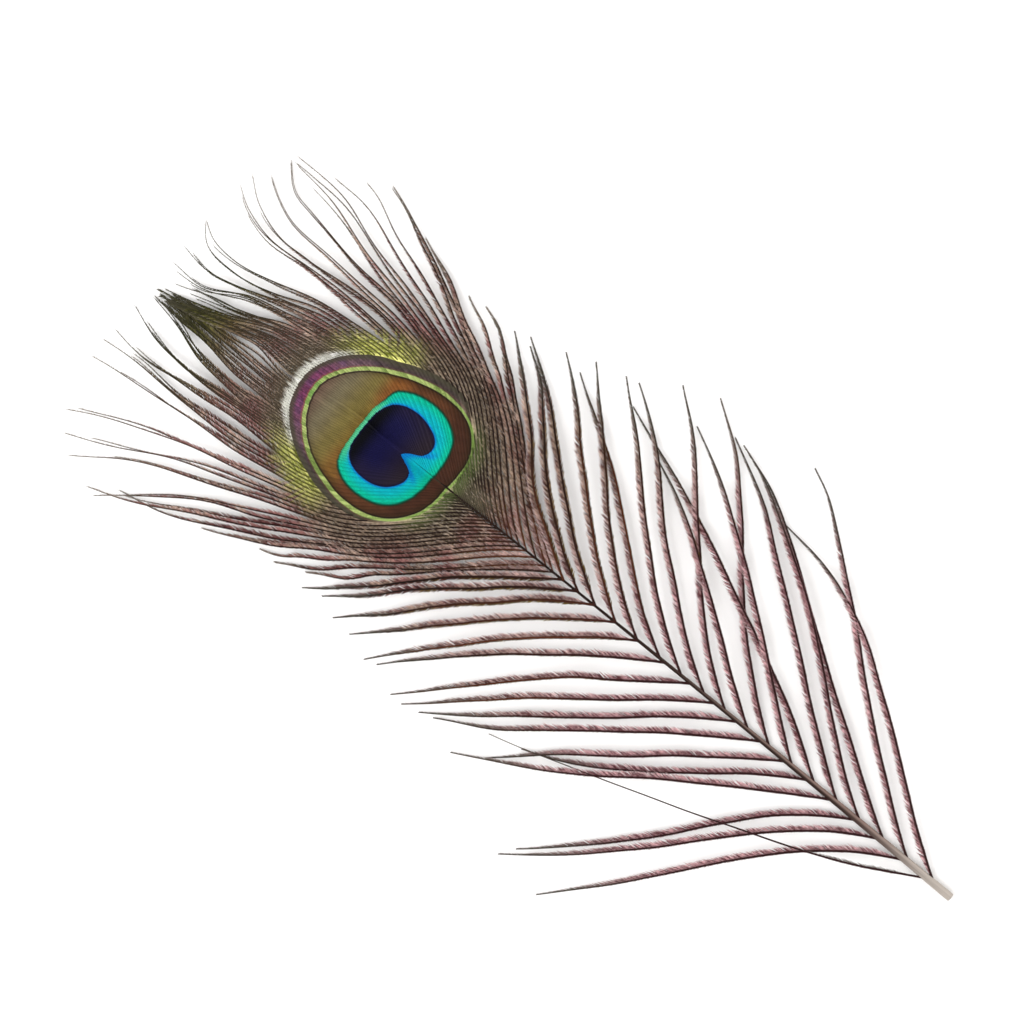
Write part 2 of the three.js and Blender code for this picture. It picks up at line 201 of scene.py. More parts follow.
HEART_ANGLES = [-180, -174, -168, -163.5, -161.5, -159, -154, -150, -144, -135, -120, -105, -90, -75, -60,
                -45, -30, -15, 0, 15, 30, 45, 60, 75, 90, 105, 120, 135, 150, 158, 164, 168, 170, 173,
                176, 180]
HEART_RADII = [4.2, 4.6, 5.3, 6.6, 8.4, 9.9, 11.0, 11.7, 12.35, 12.55, 12.1, 11.75, 11.5, 11.3, 11.0,
               10.2, 9.3, 8.6, 8.3, 8.6, 9.5, 10.7, 11.4, 11.5, 11.5, 11.6, 11.6, 11.4, 11.1, 10.5, 9.6,
               8.3, 6.8, 5.8, 4.8, 4.2]
WEB_RADII = [21.6, 21.8, 22.8, 24.0, 24.6, 24.4, 23.8, 23.2, 23.4, 25.0, 26.9, 29.0, 30.3, 29.9, 27.8,
             25.6, 24.0, 23.0, 22.5, 22.2, 22.2, 22.0, 21.8, 21.6, 21.6]

# The sheet runs on under the single barbs beside it, further at the back of the eye than at its front.
BACK_ANGLE = 100
BACK_OVERLAP = 3.2
FRONT_OVERLAP = 1.2
SHEET_RADII = [radius + (BACK_OVERLAP if abs(angle) > BACK_ANGLE else FRONT_OVERLAP)
               for angle, radius in zip(EYE_ANGLES, WEB_RADII)]

# The seam where the two halves of the sheet meet, and a radius that holds the whole eye.
SEAM_FOOT = 199.8
SEAM_TIP = (228.0, 3.0)
EYE_REACH = 40.0

# The share of the turn round the eye, from 0 at the quill's side, that points to its tip.
TIP_TURN = 0.51

# How many times a white page's own brightness the studio's light gives back from it.
STUDIO_LIGHT = 1.42


class Side(Enum):
    """The vane a barb belongs to, as the sign of y on it."""

    LEFT = 1
    RIGHT = -1


def smooth(value: Array | float, low: float, high: float) -> Array:
    """Eases from 0 at low to 1 at high."""
    share = np.clip((np.asarray(value, float) - low) / (high - low), 0.0, 1.0)
    return share * share * (3.0 - 2.0 * share)


def mix(low: Array | float, high: Array | float, share: Array | float) -> Array | float:
    """Goes straight from low to high as share goes from 0 to 1."""
    return low + (high - low) * share


def running(steps: Array) -> Array:
    """Gives the running total of steps, from 0."""
    return np.concatenate([[0.0], np.cumsum(steps)])


def sample(at: Array | float, places: Array, table: Array) -> Array:
    """Reads every column of a table, whose rows lie at places, at other places."""
    return np.stack([np.interp(at, places, column) for column in table.T], axis=-1)


def unit(vectors: Array) -> Array:
    """Scales vectors to length one."""
    return vectors / np.maximum(np.linalg.norm(vectors, axis=-1, keepdims=True), 1e-12)


def smooth_route(points: Row, steps: int, dense: int = 400) -> Array:
    """Draws a centripetal spline through points.

    Args:
        points: The given points, each of the same number of values.
        steps: How many even steps to cut the spline into.
        dense: How finely the spline is drawn before it is cut evenly.

    Returns:
        steps + 1 points, evenly spaced along the spline.
    """
    knots = np.asarray(points, float)
    gaps = np.sqrt(np.linalg.norm(np.diff(knots[:, :2], axis=0), axis=1))
    time = running(gaps)
    slopes = np.gradient(knots, time, axis=0)
    fine = np.linspace(0.0, time[-1], dense)
    span = np.clip(np.searchsorted(time, fine, side="right") - 1, 0, len(gaps) - 1)
    gap = gaps[span][:, None]
    s = ((fine - time[span]) / gaps[span])[:, None]
    curve = (
        (2 * s**3 - 3 * s**2 + 1) * knots[span]
        + (s**3 - 2 * s**2 + s) * gap * slopes[span]
        + (3 * s**2 - 2 * s**3) * knots[span + 1]
        + (s**3 - s**2) * gap * slopes[span + 1]
    )
    length = running(np.linalg.norm(np.diff(curve[:, :2], axis=0), axis=1))
    return sample(np.linspace(0.0, length[-1], steps + 1), length, curve)


def left_of(route: Array) -> Array:
    """Gives the direction to the left of travel at every point of a flat route."""
    ahead = unit(np.gradient(route, axis=0))
    return np.stack([-ahead[:, 1], ahead[:, 0]], axis=1)


@dataclass(frozen=True)
class Contour:
    """A closed outline round the eye's centre, as radii by angle."""

    angles: list
    radii: list

    def beyond(self, places: Array) -> Array:
        """Gives how far places lie outside the outline, in millimetres, less than 0 inside it."""
        away = np.asarray(places, float)[..., :2] - np.array(EYE_CENTRE)
        angle = np.degrees(np.arctan2(away[..., 1], away[..., 0]))
        return np.linalg.norm(away, axis=-1) - np.interp(angle, self.angles, self.radii)


FIELD_EDGE = Contour(EYE_ANGLES, FIELD_RADII)
VIOLET_EDGE = Contour(EYE_ANGLES, VIOLET_RADII)
SEA_EDGE = Contour(EYE_ANGLES, SEA_RADII)
HEART_EDGE = Contour(HEART_ANGLES, HEART_RADII)
WEB_EDGE = Contour(EYE_ANGLES, WEB_RADII)
SHEET_EDGE = Contour(EYE_ANGLES, SHEET_RADII)


@dataclass(frozen=True)
class Lie:
    """How the feather lies: the heights and widths it shares with the solid feather."""

    shaft_length: float = 200.0
    cut_width: float = 2.4
    end_width: float = 0.45
    taper: float = 1.8
    bow: float = 0.9
    bow_length: float = 215.0
    cut_offset: float = 0.3
    quill_rest: float = 45.0
    crest: float = 150.0
    rise: float = 2.5
    vane_height: float = 2.7
    vane_droop: float = 1.3
    vane_half_width: float = 34.0
    barb_lift: float = 2.8
    barb_swing: float = 1.1
    stray_lift: float = 5.2
    tip_height: float = 0.2
    fringe_lift: float = 0.9

    def shaft_width(self, x: Array | float) -> Array:
        """Gives the shaft's width at x."""
        left = np.clip(1.0 - np.asarray(x, float) / self.shaft_length, 0.0, 1.0)
        return self.end_width + (self.cut_width - self.end_width) * left**self.taper

    def shaft_underside(self, x: Array | float) -> Array:
        """Gives the height of the shaft's underside at x."""
        return self.rise * smooth(x, self.quill_rest, self.crest)

    def shaft_middle(self, x: Array | float) -> Array:
        """Gives the y of the shaft's middle line at x."""
        return self.cut_offset - self.bow * np.sin(np.pi * np.asarray(x, float) / self.bow_length)

    def shaft_core(self, x: Array | float) -> Array:
        """Gives the height of the shaft's middle line at x."""
        return self.shaft_underside(x) + self.shaft_width(x) / 2

    def vane(self, y: Array | float) -> Array:
        """Gives the height of the webbed vane at y."""
        return self.vane_height - self.vane_droop * (np.asarray(y, float) / self.vane_half_width) ** 2


@dataclass(frozen=True)
class Ground:
    """Where the feather's own frame lies in the row's frame, in millimetres."""

    x: float
    y: float

    @classmethod
    def from_frame(cls) -> "Ground":
        """Reads the place from the solid feather's box."""
        low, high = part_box(CAD_NODE)
        return cls(low.x / MM, high.y / MM - LEFT_REACH)

    def to_row(self, places: Array) -> Array:
        """Turns places in the feather's frame, in millimetres, into metres in the row's frame."""
        return (places + np.array([self.x, self.y, 0.0])) * MM


@dataclass(frozen=True)
class Strip:
    """A barb's own strip of the bake map, so that no two barbs share a place on it."""

    row: int
    rows: int
    end_margin: float = 0.005
    side_margin: float = 0.04

    def place(self, along: Array, across: Array) -> Array:
        """Gives map coordinates from shares along (0 to 1) and across (0 to 1) the barb."""
        u = mix(self.end_margin, 1.0 - self.end_margin, np.asarray(along, float))
        v = (self.row + mix(self.side_margin, 1.0 - self.side_margin, np.asarray(across, float))) / self.rows
        return np.stack([u, np.broadcast_to(v, u.shape)], axis=-1)


class MeshParts:
    """Gathers points, faces and per-point values until they become one object."""

    VALUES = ("along", "reach", "across", "strand")

    def __init__(self) -> None:
        self.places: list[Array] = []
        self.values: list[Array] = []
        self.maps: list[Array] = []
        self.faces: list[Array] = []
        self.count = 0

    def add(self, places: Array, values: Array, maps: Array, faces: Sequence[Array]) -> None:
        """Adds a batch of points with their faces.

        Args:
            places: Points, one row each, in millimetres.
            values: Along, reach, across and strand for each point.
            maps: The bake map's coordinates for each point.
            faces: Arrays of faces that count from the batch's first point, by number of corners.
        """
        self.places.append(places)
        self.values.append(values)
        self.maps.append(maps)
        self.faces.extend(batch + self.count for batch in faces if len(batch))
        self.count += len(places)

    def build(self, name: str, ground: Ground) -> bpy.types.Object:
        """Makes the object.

        Args:
            name: The object's name.
            ground: Where the feather lies in the row's frame.

        Returns:
            The new object, linked to the scene.
        """
        mesh = bpy.data.meshes.new(name)
        places = ground.to_row(np.concatenate(self.places))
        corners = np.concatenate([batch.ravel() for batch in self.faces]).astype(np.int32)
        totals = np.concatenate([np.full(len(batch), batch.shape[1]) for batch in self.faces])
        starts = np.concatenate([[0], np.cumsum(totals)[:-1]])
        mesh.vertices.add(len(places))
        mesh.vertices.foreach_set("co", places.ravel().astype(np.float32))
        mesh.loops.add(len(corners))
        mesh.loops.foreach_set("vertex_index", corners)
        mesh.polygons.add(len(totals))
        mesh.polygons.foreach_set("loop_start", starts.astype(np.int32))
        mesh.update(calc_edges=True)
        values = np.concatenate(self.values).astype(np.float32)
        for column, label in enumerate(self.VALUES):
            layer = mesh.attributes.new(label, "FLOAT", "POINT")
            layer.data.foreach_set("value", np.ascontiguousarray(values[:, column]))
        chart = mesh.uv_layers.new(name=BAKE_MAP)
        chart.data.foreach_set("uv", np.concatenate(self.maps)[corners].astype(np.float32).ravel())
        mesh.validate()
        mesh.shade_smooth()
        made = bpy.data.objects.new(name, mesh)
        bpy.context.scene.collection.objects.link(made)
        return made


class Rib:
    """The centre line of one barb, with the directions along it, to its left and out of its face."""

    def __init__(self, places: Array) -> None:
        self.places = places
        self.reach = running(np.linalg.norm(np.diff(places, axis=0), axis=1))
        self.length = float(self.reach[-1])
        self.ahead = unit(np.gradient(places, self.reach, axis=0))
        self.left = unit(np.cross(UP, self.ahead))
        self.face = np.cross(self.ahead, self.left)

    def at(self, reach: Array) -> tuple[Array, Array, Array, Array]:
        """Gives places and the three directions at distances along the rib."""
        place, *ways = (sample(reach, self.reach, table)
                        for table in (self.places, self.ahead, self.left, self.face))
        return place, *(unit(way) for way in ways)


# Where a rib's tube lies in its strip of the bake map, and how far apart its upper and lower side lie.
MAP_MIDDLE = 0.34
MAP_HALF = 0.06
MAP_SKEW = 0.005


def round_turns(sides: int) -> Array:
    """Gives the angle of each corner of a tube's ring, in radians."""
    return (np.arange(sides) + 0.5) / sides * 2 * np.pi


def tube_faces(count: int, sides: int) -> list[Array]:
    """Gives the faces of a closed tube of count rings: its skin, then its two ends."""
    ring = np.arange(sides)
    after = (ring + 1) % sides
    start = (np.arange(count - 1) * sides)[:, None]
    skin = np.stack([start + ring, start + after, start + sides + after, start + sides + ring], axis=-1)
    return [skin.reshape(-1, 4), np.stack([ring[::-1], ring + (count - 1) * sides])]


def add_tube(parts: MeshParts, rib: Rib, width: Array, depth: Array, sides: int,
             strip: Strip, strand: float) -> None:
    """Adds a closed tube round a rib.

    Args:
        parts: Gathers the tube.
        rib: The tube's centre line.
        width: Half the tube's width at each point of the rib.
        depth: Half the tube's depth at each point of the rib.
        sides: How many sides the tube has.
        strip: The barb's strip of the bake map.
        strand: The barb's own random value.
    """
    count = len(rib.places)
    turn = round_turns(sides)
    places = (
        rib.places[:, None]
        + rib.left[:, None] * (np.cos(turn)[None, :, None] * width[:, None, None])
        + rib.face[:, None] * (np.sin(turn)[None, :, None] * depth[:, None, None])
    )
    along = rib.reach / rib.length
    table = np.zeros((count, sides, 4))
    table[..., 0] = along[:, None]
    table[..., 1] = rib.reach[:, None]
    table[..., 3] = strand
    maps = strip.place(
        along[:, None] * (1.0 - 2.0 * MAP_SKEW) + MAP_SKEW * (1.0 + np.sin(turn)[None, :]),
        MAP_MIDDLE + MAP_HALF * np.cos(turn)[None, :] + np.zeros((count, 1)),
    )
    parts.add(places.reshape(-1, 3), table.reshape(-1, 4), maps.reshape(-1, 2), tube_faces(count, sides))


@dataclass(frozen=True)
class Blades:
    """One row of blades on a rib: where each stands, its share of full size, its slant and its length."""

    reach: Array
    along: Array
    size: Array
    lean: Array
    tilt: Array
    length: Array


@dataclass(frozen=True)
class Barbules:
    """The fine blades along one side of a rib, each a closed three-sided spike."""

    pitch: float = 0.34
    jitter: float = 0.35
    shortest: float = 0.04
    length: float = 3.4
    lean: float = 37.0
    tip_lean: float = 0.8
    lean_spread: float = 3.0
    clumping: float = 1.1
    curl: float = 0.16
    width: float = 0.34
    depth: float = 0.06
    spread: float = 0.05
    tuft: float = 0.7
    kinship: float = 0.15
    patches: float = 0.5
    ragged: float = 0.13
    dusk: float = 0.0
    back: bool = False
    band: tuple[float, float] = (0.4, 1.0)

    # A blade has three corners at its root, three more where it bends, and its tip.
    BEND = 0.62
    CURL_FROM = 0.6
    BEND_WIDTH = 0.85
    BEND_DEPTH = 0.7
    ACROSS = np.array([0.0, 0.0, 0.08, BEND, BEND, 0.66, 1.0])
    NUDGE = np.array([-1.0, 1.0, 0.0, -BEND_WIDTH, BEND_WIDTH, 0.0, 0.0])
    QUADS = np.array([[0, 1, 4, 3], [1, 2, 5, 4], [2, 0, 3, 5]])
    TRIANGLES = np.array([[3, 4, 6], [4, 5, 6], [5, 3, 6], [2, 1, 0]])
    CORNERS = len(ACROSS)

    # The rates and shifts of two waves along the rib that gather the blades into clumps.
    CLUMP_WAVES = ((1.9, 1.0), (0.83, 2.3))

    # The least lean, in radians, that the bake map allows for.
    FLATTEST = 0.2

    # The value across a blade at its root, so that the sign tells which side of the rib it is on.
    ROOT_ACROSS = 0.12

    def leaning(self, reach: Array, along: Array, rng: np.random.Generator) -> Array:
        """Gives how far each blade leans out from the rib, in radians."""
        phase = rng.uniform(0, 2 * np.pi)
        clump = sum(np.sin(reach * rate + shift * phase) for rate, shift in self.CLUMP_WAVES)
        lean = self.lean * mix(1.0, self.tip_lean, smooth(along, 0.6, 1.0)) + self.clumping * clump
        return np.radians(lean + rng.normal(0, self.lean_spread, len(reach)))

    def points(self, rib: Rib, side: int, row: Blades) -> Array:
        """Gives the corners and the tip of every blade."""
        root, ahead, left, face = rib.at(row.reach)
        slant = ahead * np.cos(row.lean)[:, None] + left * side * np.sin(row.lean)[:, None]
        way = unit(slant + face * row.tilt[:, None])
        bent = unit(way + ahead * self.curl)
        wide = unit(np.cross(face, way))
        half = self.width / 2 * np.sqrt(row.size)
        root_side = wide * half[:, None]
        bend_side = wide * (half * self.BEND_WIDTH)[:, None]
        top = face * (self.depth * np.sqrt(row.size))[:, None]
        middle = root + way * (row.length * self.BEND)[:, None]
        tip = root + way * (row.length * self.CURL_FROM)[:, None]
        tip = tip + bent * (row.length * (1.0 - self.CURL_FROM))[:, None]
        return np.stack([
            root - root_side, root + root_side, root + top,
            middle - bend_side, middle + bend_side, middle + top * self.BEND_DEPTH, tip,
        ], axis=1)

    def maps(self, rib: Rib, strip: Strip, row: Blades) -> Array:
        """Gives the bake map's coordinates for every blade's points."""
        half = self.width / 2 * np.sqrt(row.size)
        run = row.along[:, None] + self.ACROSS * (row.length * np.cos(row.lean) / rib.length)[:, None]
        foot = half / np.sin(np.maximum(row.lean, self.FLATTEST)) / rib.length
        run = run + self.NUDGE * foot[:, None] * 0.5
        return strip.place(np.clip(run, 0.0, 1.0), mix(*self.band, self.ACROSS * row.size[:, None]))

    def grow(self, parts: MeshParts, rib: Rib, side: int, share: Callable[[Array], Array],
             strip: Strip, rng: np.random.Generator, start: float = 0.0, end: float = 1.0) -> None:
        """Adds the blades along one side.

        Args:
            parts: Gathers the blades.
            rib: The rib they grow from.
            side: 1 for the side to the left of travel, -1 for the other.
            share: The blades' share of their full length, by share along the rib.
            strip: The barb's strip of the bake map.
            rng: Gives the small differences between blades.
            start: Where the blades begin, as a share of the rib.
            end: Where they end.
        """
        slots = int((end - start) * rib.length / self.pitch)
        reach = (start + (end - start) * (np.arange(slots) + 0.5) / max(slots, 1)) * rib.length
        reach = reach + rng.uniform(-self.jitter, self.jitter, slots) * self.pitch
        size = share(np.clip(reach / rib.length, 0.0, 1.0))
        kept = size > self.shortest
        reach, size = reach[kept], size[kept]
        count = len(reach)
        if count < 1:
            return
        along = np.clip(reach / rib.length, 0.0, 1.0)
        lean = self.leaning(reach, along, rng)
        tilt = rng.normal(0.0, self.spread, count)
        knots = np.arange(0.0, rib.length + 2.0 * self.tuft, self.tuft)
        tuft = np.interp(reach, knots, rng.uniform(0, 1, len(knots)))
        length = self.length * size * (1.0 + self.ragged * (rng.uniform(-1, 1, count) + 2.0 * tuft - 1.0))
        row = Blades(reach, along, size, lean, tilt, length)
        own = mix(rng.uniform(0, 1, count), tuft, self.patches)
        values = np.zeros((count, self.CORNERS, 4))
        values[..., 0] = along[:, None]
        values[..., 1] = reach[:, None] + self.ACROSS * length[:, None]
        values[..., 2] = mix(self.ROOT_ACROSS, 1.0, self.ACROSS) * (-1.0 if self.back else 1.0)
        values[..., 3] = (mix(own, rng.uniform(), self.kinship) - self.dusk)[:, None]
        base = (np.arange(count) * self.CORNERS)[:, None, None]
        parts.add(
            self.points(rib, side, row).reshape(-1, 3), values.reshape(-1, 4),
            self.maps(rib, strip, row).reshape(-1, 2),
            [(self.QUADS + base).reshape(-1, 4), (self.TRIANGLES + base).reshape(-1, 3)],
        )


@dataclass
class Shaft:
    """The shaft: a cut, hollow quill that thins into the eye."""

    lie: Lie
    steps: int = 220
    sides: int = 16
    corner: float = 0.8
    body_from: float = 1.0
    visible_length: float = 177.0
    bore_share: float = 0.55
    bore_depth: float = 1.6
    bore_end: float = 0.02
    bevel_share: float = 0.93
    bevel_depth: float = 0.12
    point_share: float = 0.3
    point_length: float = 1.5
    map_margin: float = 0.01
    map_half: float = 0.24
    name: str = "shaft"

    def stations(self) -> list[tuple[float, float]]:
        """Gives each ring's x and its share of the shaft's size: the bore, the cut, the body, the point."""
        body = np.linspace(self.body_from, self.visible_length, self.steps)
        return [
            (self.bore_depth, self.bore_end), (self.bore_depth, self.bore_share), (0.0, self.bore_share),
            (0.0, self.bevel_share), (self.bevel_depth, 1.0), *((x, 1.0) for x in body),
            (self.visible_length + self.point_length, self.point_share),
        ]

    def ring(self, x: float, share: float) -> Array:
        """Gives one ring of points round the shaft at x, shrunk to a share of its size."""
        turn = round_turns(self.sides)
        half = float(self.lie.shaft_width(x)) / 2
        side, rise = (np.sign(wave) * np.abs(wave) ** self.corner for wave in (np.cos(turn), np.sin(turn)))
        core = float(self.lie.shaft_core(x))
        middle = float(self.lie.shaft_middle(x))
        return np.stack([
            np.full(self.sides, x), middle + half * side * share, core + half * rise * share,
        ], axis=1)

    def build(self, ground: Ground) -> bpy.types.Object:
        """Makes the shaft's object, with a strand value of 0 in the bore and 1 outside it."""
        stations = self.stations()
        places = np.concatenate([self.ring(x, share) for x, share in stations])
        count = len(stations)
        turn = round_turns(self.sides)
        values = np.zeros((count, self.sides, 4))
        values[..., 0] = np.arange(count)[:, None] / count
        values[..., 1] = places[:, 0].reshape(count, self.sides)
        values[..., 2] = np.cos(turn)
        values[..., 3] = np.array([0.0] * 3 + [1.0] * (count - 3))[:, None]
        run = np.arange(count) / count * (1.0 - 2.0 * self.map_margin) + self.map_margin
        level = 0.5 + self.map_half * np.cos(turn) + self.map_half * np.sign(np.sin(turn))
        maps = np.stack([np.repeat(run, self.sides), np.tile(level, count)], axis=1)
        parts = MeshParts()
        parts.add(places, values.reshape(-1, 4), maps, tube_faces(count, self.sides))
        return parts.build(self.name, ground)


@dataclass
class LooseBarbs:
    """The loose barbs of one vane, with the barbules that make each a soft ribbon."""

    lie: Lie
    side: Side
    routes: list[Row]
    first: int
    name: str
    stray: Row | None = None
    steps: int = 64
    sides: int = 6
    rib_width: float = 0.34
    rib_tip: float = 0.12
    rib_depth: float = 1.1
    foot_swell: float = 0.5
    foot_length: float = 0.04
    swing_rate: float = 2.4
    waver: float = 0.16
    back_sizes: tuple[float, float] = (0.8, 1.7)
    near_eye: tuple[float, float] = (95.0, 136.0)
    front: Barbules = field(default_factory=lambda: Barbules(
        pitch=0.3, length=3.1, lean=37.0, width=0.32, patches=0.3, ragged=0.06))
    back: Barbules = field(default_factory=lambda: Barbules(
        pitch=0.36, length=1.05, lean=32.0, width=0.22, band=(0.28, 0.0), back=True))
    fuzz: Barbules = field(default_factory=lambda: Barbules(
        pitch=0.36, length=1.9, lean=28.0, width=0.2, dusk=1.8))
    fuzz_sizes: tuple[float, float] = (0.55, 1.0)

    @staticmethod
    def share(along: Array) -> Array:
        """Gives the barbules' share of full length: bare at the root, full, then fine at the tip."""
        thinning = 1.0 - 0.3 * smooth(along, 0.58, 0.9) - 0.45 * smooth(along, 0.78, 1.0)
        return smooth(along, -0.01, 0.075) * thinning

    def rib(self, points: Row, lift: float, rng: np.random.Generator) -> Rib:
        """Lays one barb's rib from the shaft, up in an arch and down to the table."""
        base = float(points[0][0])
        route = smooth_route([[base, float(self.lie.shaft_middle(base))], *points[1:]], self.steps)
        along = np.linspace(0.0, 1.0, self.steps + 1)
        phase = rng.uniform(0, 2 * np.pi, 2)
        drift = np.sin(along * 17 + phase[0]) * 0.5 + np.sin(along * 31 + phase[1]) * 0.3
        route = route + left_of(route) * (self.waver * drift * smooth(along, 0.0, 0.3))[:, None]
        height = mix(self.lie.shaft_core(base), self.lie.tip_height, along**2)
        height = height + lift * np.sin(np.pi * along)
        return Rib(np.column_stack([route, height]))

    def add_barb(self, parts: MeshParts, points: Row, lift: float, strip: Strip,
                 rng: np.random.Generator) -> None:
        """Adds one loose barb: a rib that swells at its foot, long barbules in front, short ones behind."""
        rib = self.rib(points, lift, rng)
        along = np.linspace(0.0, 1.0, self.steps + 1)
        width = mix(self.rib_width, self.rib_tip, along**2)
        width = width * (1.0 + self.foot_swell * (1.0 - smooth(along, 0.0, self.foot_length)))
        add_tube(parts, rib, width, width * self.rib_depth, self.sides, strip, rng.uniform())
        self.front.grow(parts, rib, -self.side.value, self.share, strip, rng, 0.01, 0.995)
        size = mix(*self.back_sizes, float(smooth(points[0][0], *self.near_eye)))
        self.back.grow(parts, rib, self.side.value, lambda at: size * self.share(at), strip, rng, 0.03, 0.97)

    def add_stray(self, parts: MeshParts, points: Row, strip: Strip, rng: np.random.Generator) -> None:
        """Adds the barb that crosses over the others: nearly bare, with some dark fuzz by its foot."""
        rib = self.rib(points, self.lie.stray_lift, rng)
        width = mix(self.rib_width, self.rib_tip, np.linspace(0.0, 1.0, self.steps + 1))
        add_tube(parts, rib, width, width, self.sides, strip, rng.uniform())
        for side, size in zip((1, -1), self.fuzz_sizes):
            def share(at: Array, size: float = size) -> Array:
                """Gives the fuzz's share of full length along the barb."""
                return size * smooth(at, 0.02, 0.08) * (1.0 - smooth(at, 0.18, 0.34))

            self.fuzz.grow(parts, rib, side, share, strip, rng, 0.03, 0.4)

    def build(self, ground: Ground, rng: np.random.Generator) -> bpy.types.Object:
        """Makes the object of this vane's loose barbs."""
        parts = MeshParts()
        rows = len(self.routes) + (self.stray is not None)
        for row, points in enumerate(self.routes):
            swing = self.lie.barb_swing * math.sin(self.swing_rate * (row + self.first))
            self.add_barb(parts, points, self.lie.barb_lift + swing, Strip(row, rows), rng)
        if self.stray is not None:
            self.add_stray(parts, self.stray, Strip(rows - 1, rows), rng)
        return parts.build(self.name, ground)


@dataclass(frozen=True)
class WebBarb:
    """One barb of the webbed vane: where it starts, crosses the rim and runs on in its lock."""

    foot: float
    root: Array
    arrival: float
    lock: int
    place: float
    rank: float

    def tufted(self) -> float:
        """Gives 1 for a barb of the tufts at the eye's tip, 0 for one further back."""
        return float(smooth(self.rank, 0.66, 0.8))


@dataclass
class Web:
    """One side's close-set barbs, from the shaft over the vane and on into the fringe."""

    lie: Lie
    side: Side
    rim: list[Row]
    locks: list
    flank_spacing: float = 1.35
    fullness: tuple[float, float] = (0.66, 0.54)
    spacing: float = 0.95
    tip_spacing: float = 0.68
    close_from: float = 141.0
    close_to: float = 162.0
    tip_from: float = 176.0
    tip_to: float = 186.0
    vane_steps: int = 44
    hair_steps: int = 40
    flank_angle: float = 33.0
    tip_angle: float = 12.0
    rank_power: float = 2.2
    leave_reach: float = 0.34
    arrive_reach: float = 0.36
    settle_share: float = 0.34
    waist_flank: float = 0.62
    waist_tuft: float = 0.3
    waver: float = 0.2
    waver_rate: float = 14.0
    height_above: float = 0.1
    sink: float = 0.6

    def barbs(self) -> list[WebBarb]:
        """Shares the rim out among the locks of the fringe and sets the barbs along it."""
        rim = smooth_route(self.rim, 600, 1200)
        index = np.arange(len(rim))
        roots = np.array([points[0] for _, points in self.locks], float)
        nearest = np.array([np.argmin(np.linalg.norm(rim[:, :2] - root, axis=1)) for root in roots])
        nearest = np.maximum.accumulate(nearest)
        headings = [math.atan2(points[1][1] - points[0][1], points[1][0] - points[0][0])
                    for _, points in self.locks]
        heading = np.interp(index, nearest, headings)
        inward = np.stack([np.sin(heading), -np.cos(heading)], axis=1)
        steps = np.abs(np.einsum("ij,ij->i", np.diff(rim[:, :2], axis=0), inward[1:]))
        spacing = mix(self.flank_spacing, self.spacing, smooth(rim[1:, 2], self.close_from, self.close_to))
        spacing = mix(spacing, self.tip_spacing, smooth(rim[1:, 2], self.tip_from, self.tip_to))
        room = running(steps / spacing)
        edges = np.concatenate([[0.0], (room[nearest][1:] + room[nearest][:-1]) / 2, [room[-1]]])
        found: list[WebBarb] = []
        for lock, (low, high) in enumerate(zip(edges, edges[1:])):
            count = max(1, round(high - low))
            for k in range(count):
                share = (k + 0.5) / count
                at = float(np.interp(mix(low, high, share), room, index))
                x, y, foot = map(float, sample(at, index, rim))
                found.append(WebBarb(foot, np.array([x, y]), float(np.interp(at, index, heading)),
                                     lock, 1.0 - 2.0 * share, mix(low, high, share) / room[-1]))
        return found

    def line(self, barb: WebBarb) -> Array:
        """Draws one barb's flat line over the vane, from its foot on the shaft to the rim."""
        foot = np.array([barb.foot, float(self.lie.shaft_middle(barb.foot))])
        leave = mix(self.flank_angle, self.tip_angle, barb.rank**self.rank_power)
        leave = math.radians(leave) * self.side.value
        reach = float(np.linalg.norm(barb.root - foot))
        first = foot + self.leave_reach * reach * np.array([math.cos(leave), math.sin(leave)])
        arrival = np.array([math.cos(barb.arrival), math.sin(barb.arrival)])
        second = barb.root - self.arrive_reach * reach * arrival
        t = np.linspace(0.0, 1.0, self.vane_steps + 1)[:, None]
        return ((1 - t)**3 * foot + 3 * (1 - t)**2 * t * first
                + 3 * (1 - t) * t**2 * second + t**3 * barb.root)

    def hair(self, barb: WebBarb, end: float, scatter: float, rng: np.random.Generator) -> Array:
        """Draws the hair that carries a barb on from the rim to its tip.

        Args:
            barb: The barb that the hair carries on.
            end: The share of the lock's length that the hair reaches.
            scatter: How far the hair's tip strays sideways, in millimetres.
            rng: Gives the hair its waver.

        Returns:
            The hair's points, with their heights.
        """
        width, points = self.locks[barb.lock]
        route = smooth_route(points, self.hair_steps)
        along = np.linspace(0.0, 1.0, self.hair_steps + 1)
        settle = smooth(along, 0.0, self.settle_share)
        waist = 1.0 - mix(self.waist_flank, self.waist_tuft, barb.tufted()) * smooth(along, 0.1, 0.66)
        aside = barb.place * self.side.value * width / 2 * waist * settle + scatter * along**3
        phase = rng.uniform(0, 2 * np.pi)
        aside = aside + self.waver * np.sin(along * self.waver_rate + phase) * settle
        start = (barb.root - route[0]) * (1.0 - settle)[:, None]
        flat = route + start + left_of(route) * aside[:, None]
        height = mix(float(self.lie.vane(barb.root[1])), self.lie.tip_height, along**1.5)
        height = height + self.lie.fringe_lift * np.sin(np.pi * along) * rng.uniform(0.5, 1.5)
        places = np.column_stack([flat, height])
        return sample(np.linspace(0.0, end, self.hair_steps + 1), along, places)

    def whole(self, barb: WebBarb, end: float, scatter: float, rng: np.random.Generator) -> Array:
        """Draws one barb from its foot to its tip, sunk under the sheet where it crosses the eye."""
        flat = self.line(barb)
        under = 1.0 - smooth(WEB_EDGE.beyond(flat), -1.2, -0.2)
        height = self.lie.vane(flat[:, 1]) + self.height_above
        height[0] = float(self.lie.shaft_core(barb.foot))
        height = height - self.sink * under
        hair = self.hair(barb, end, scatter, rng)
        return np.concatenate([np.column_stack([flat, height])[:-1], hair])


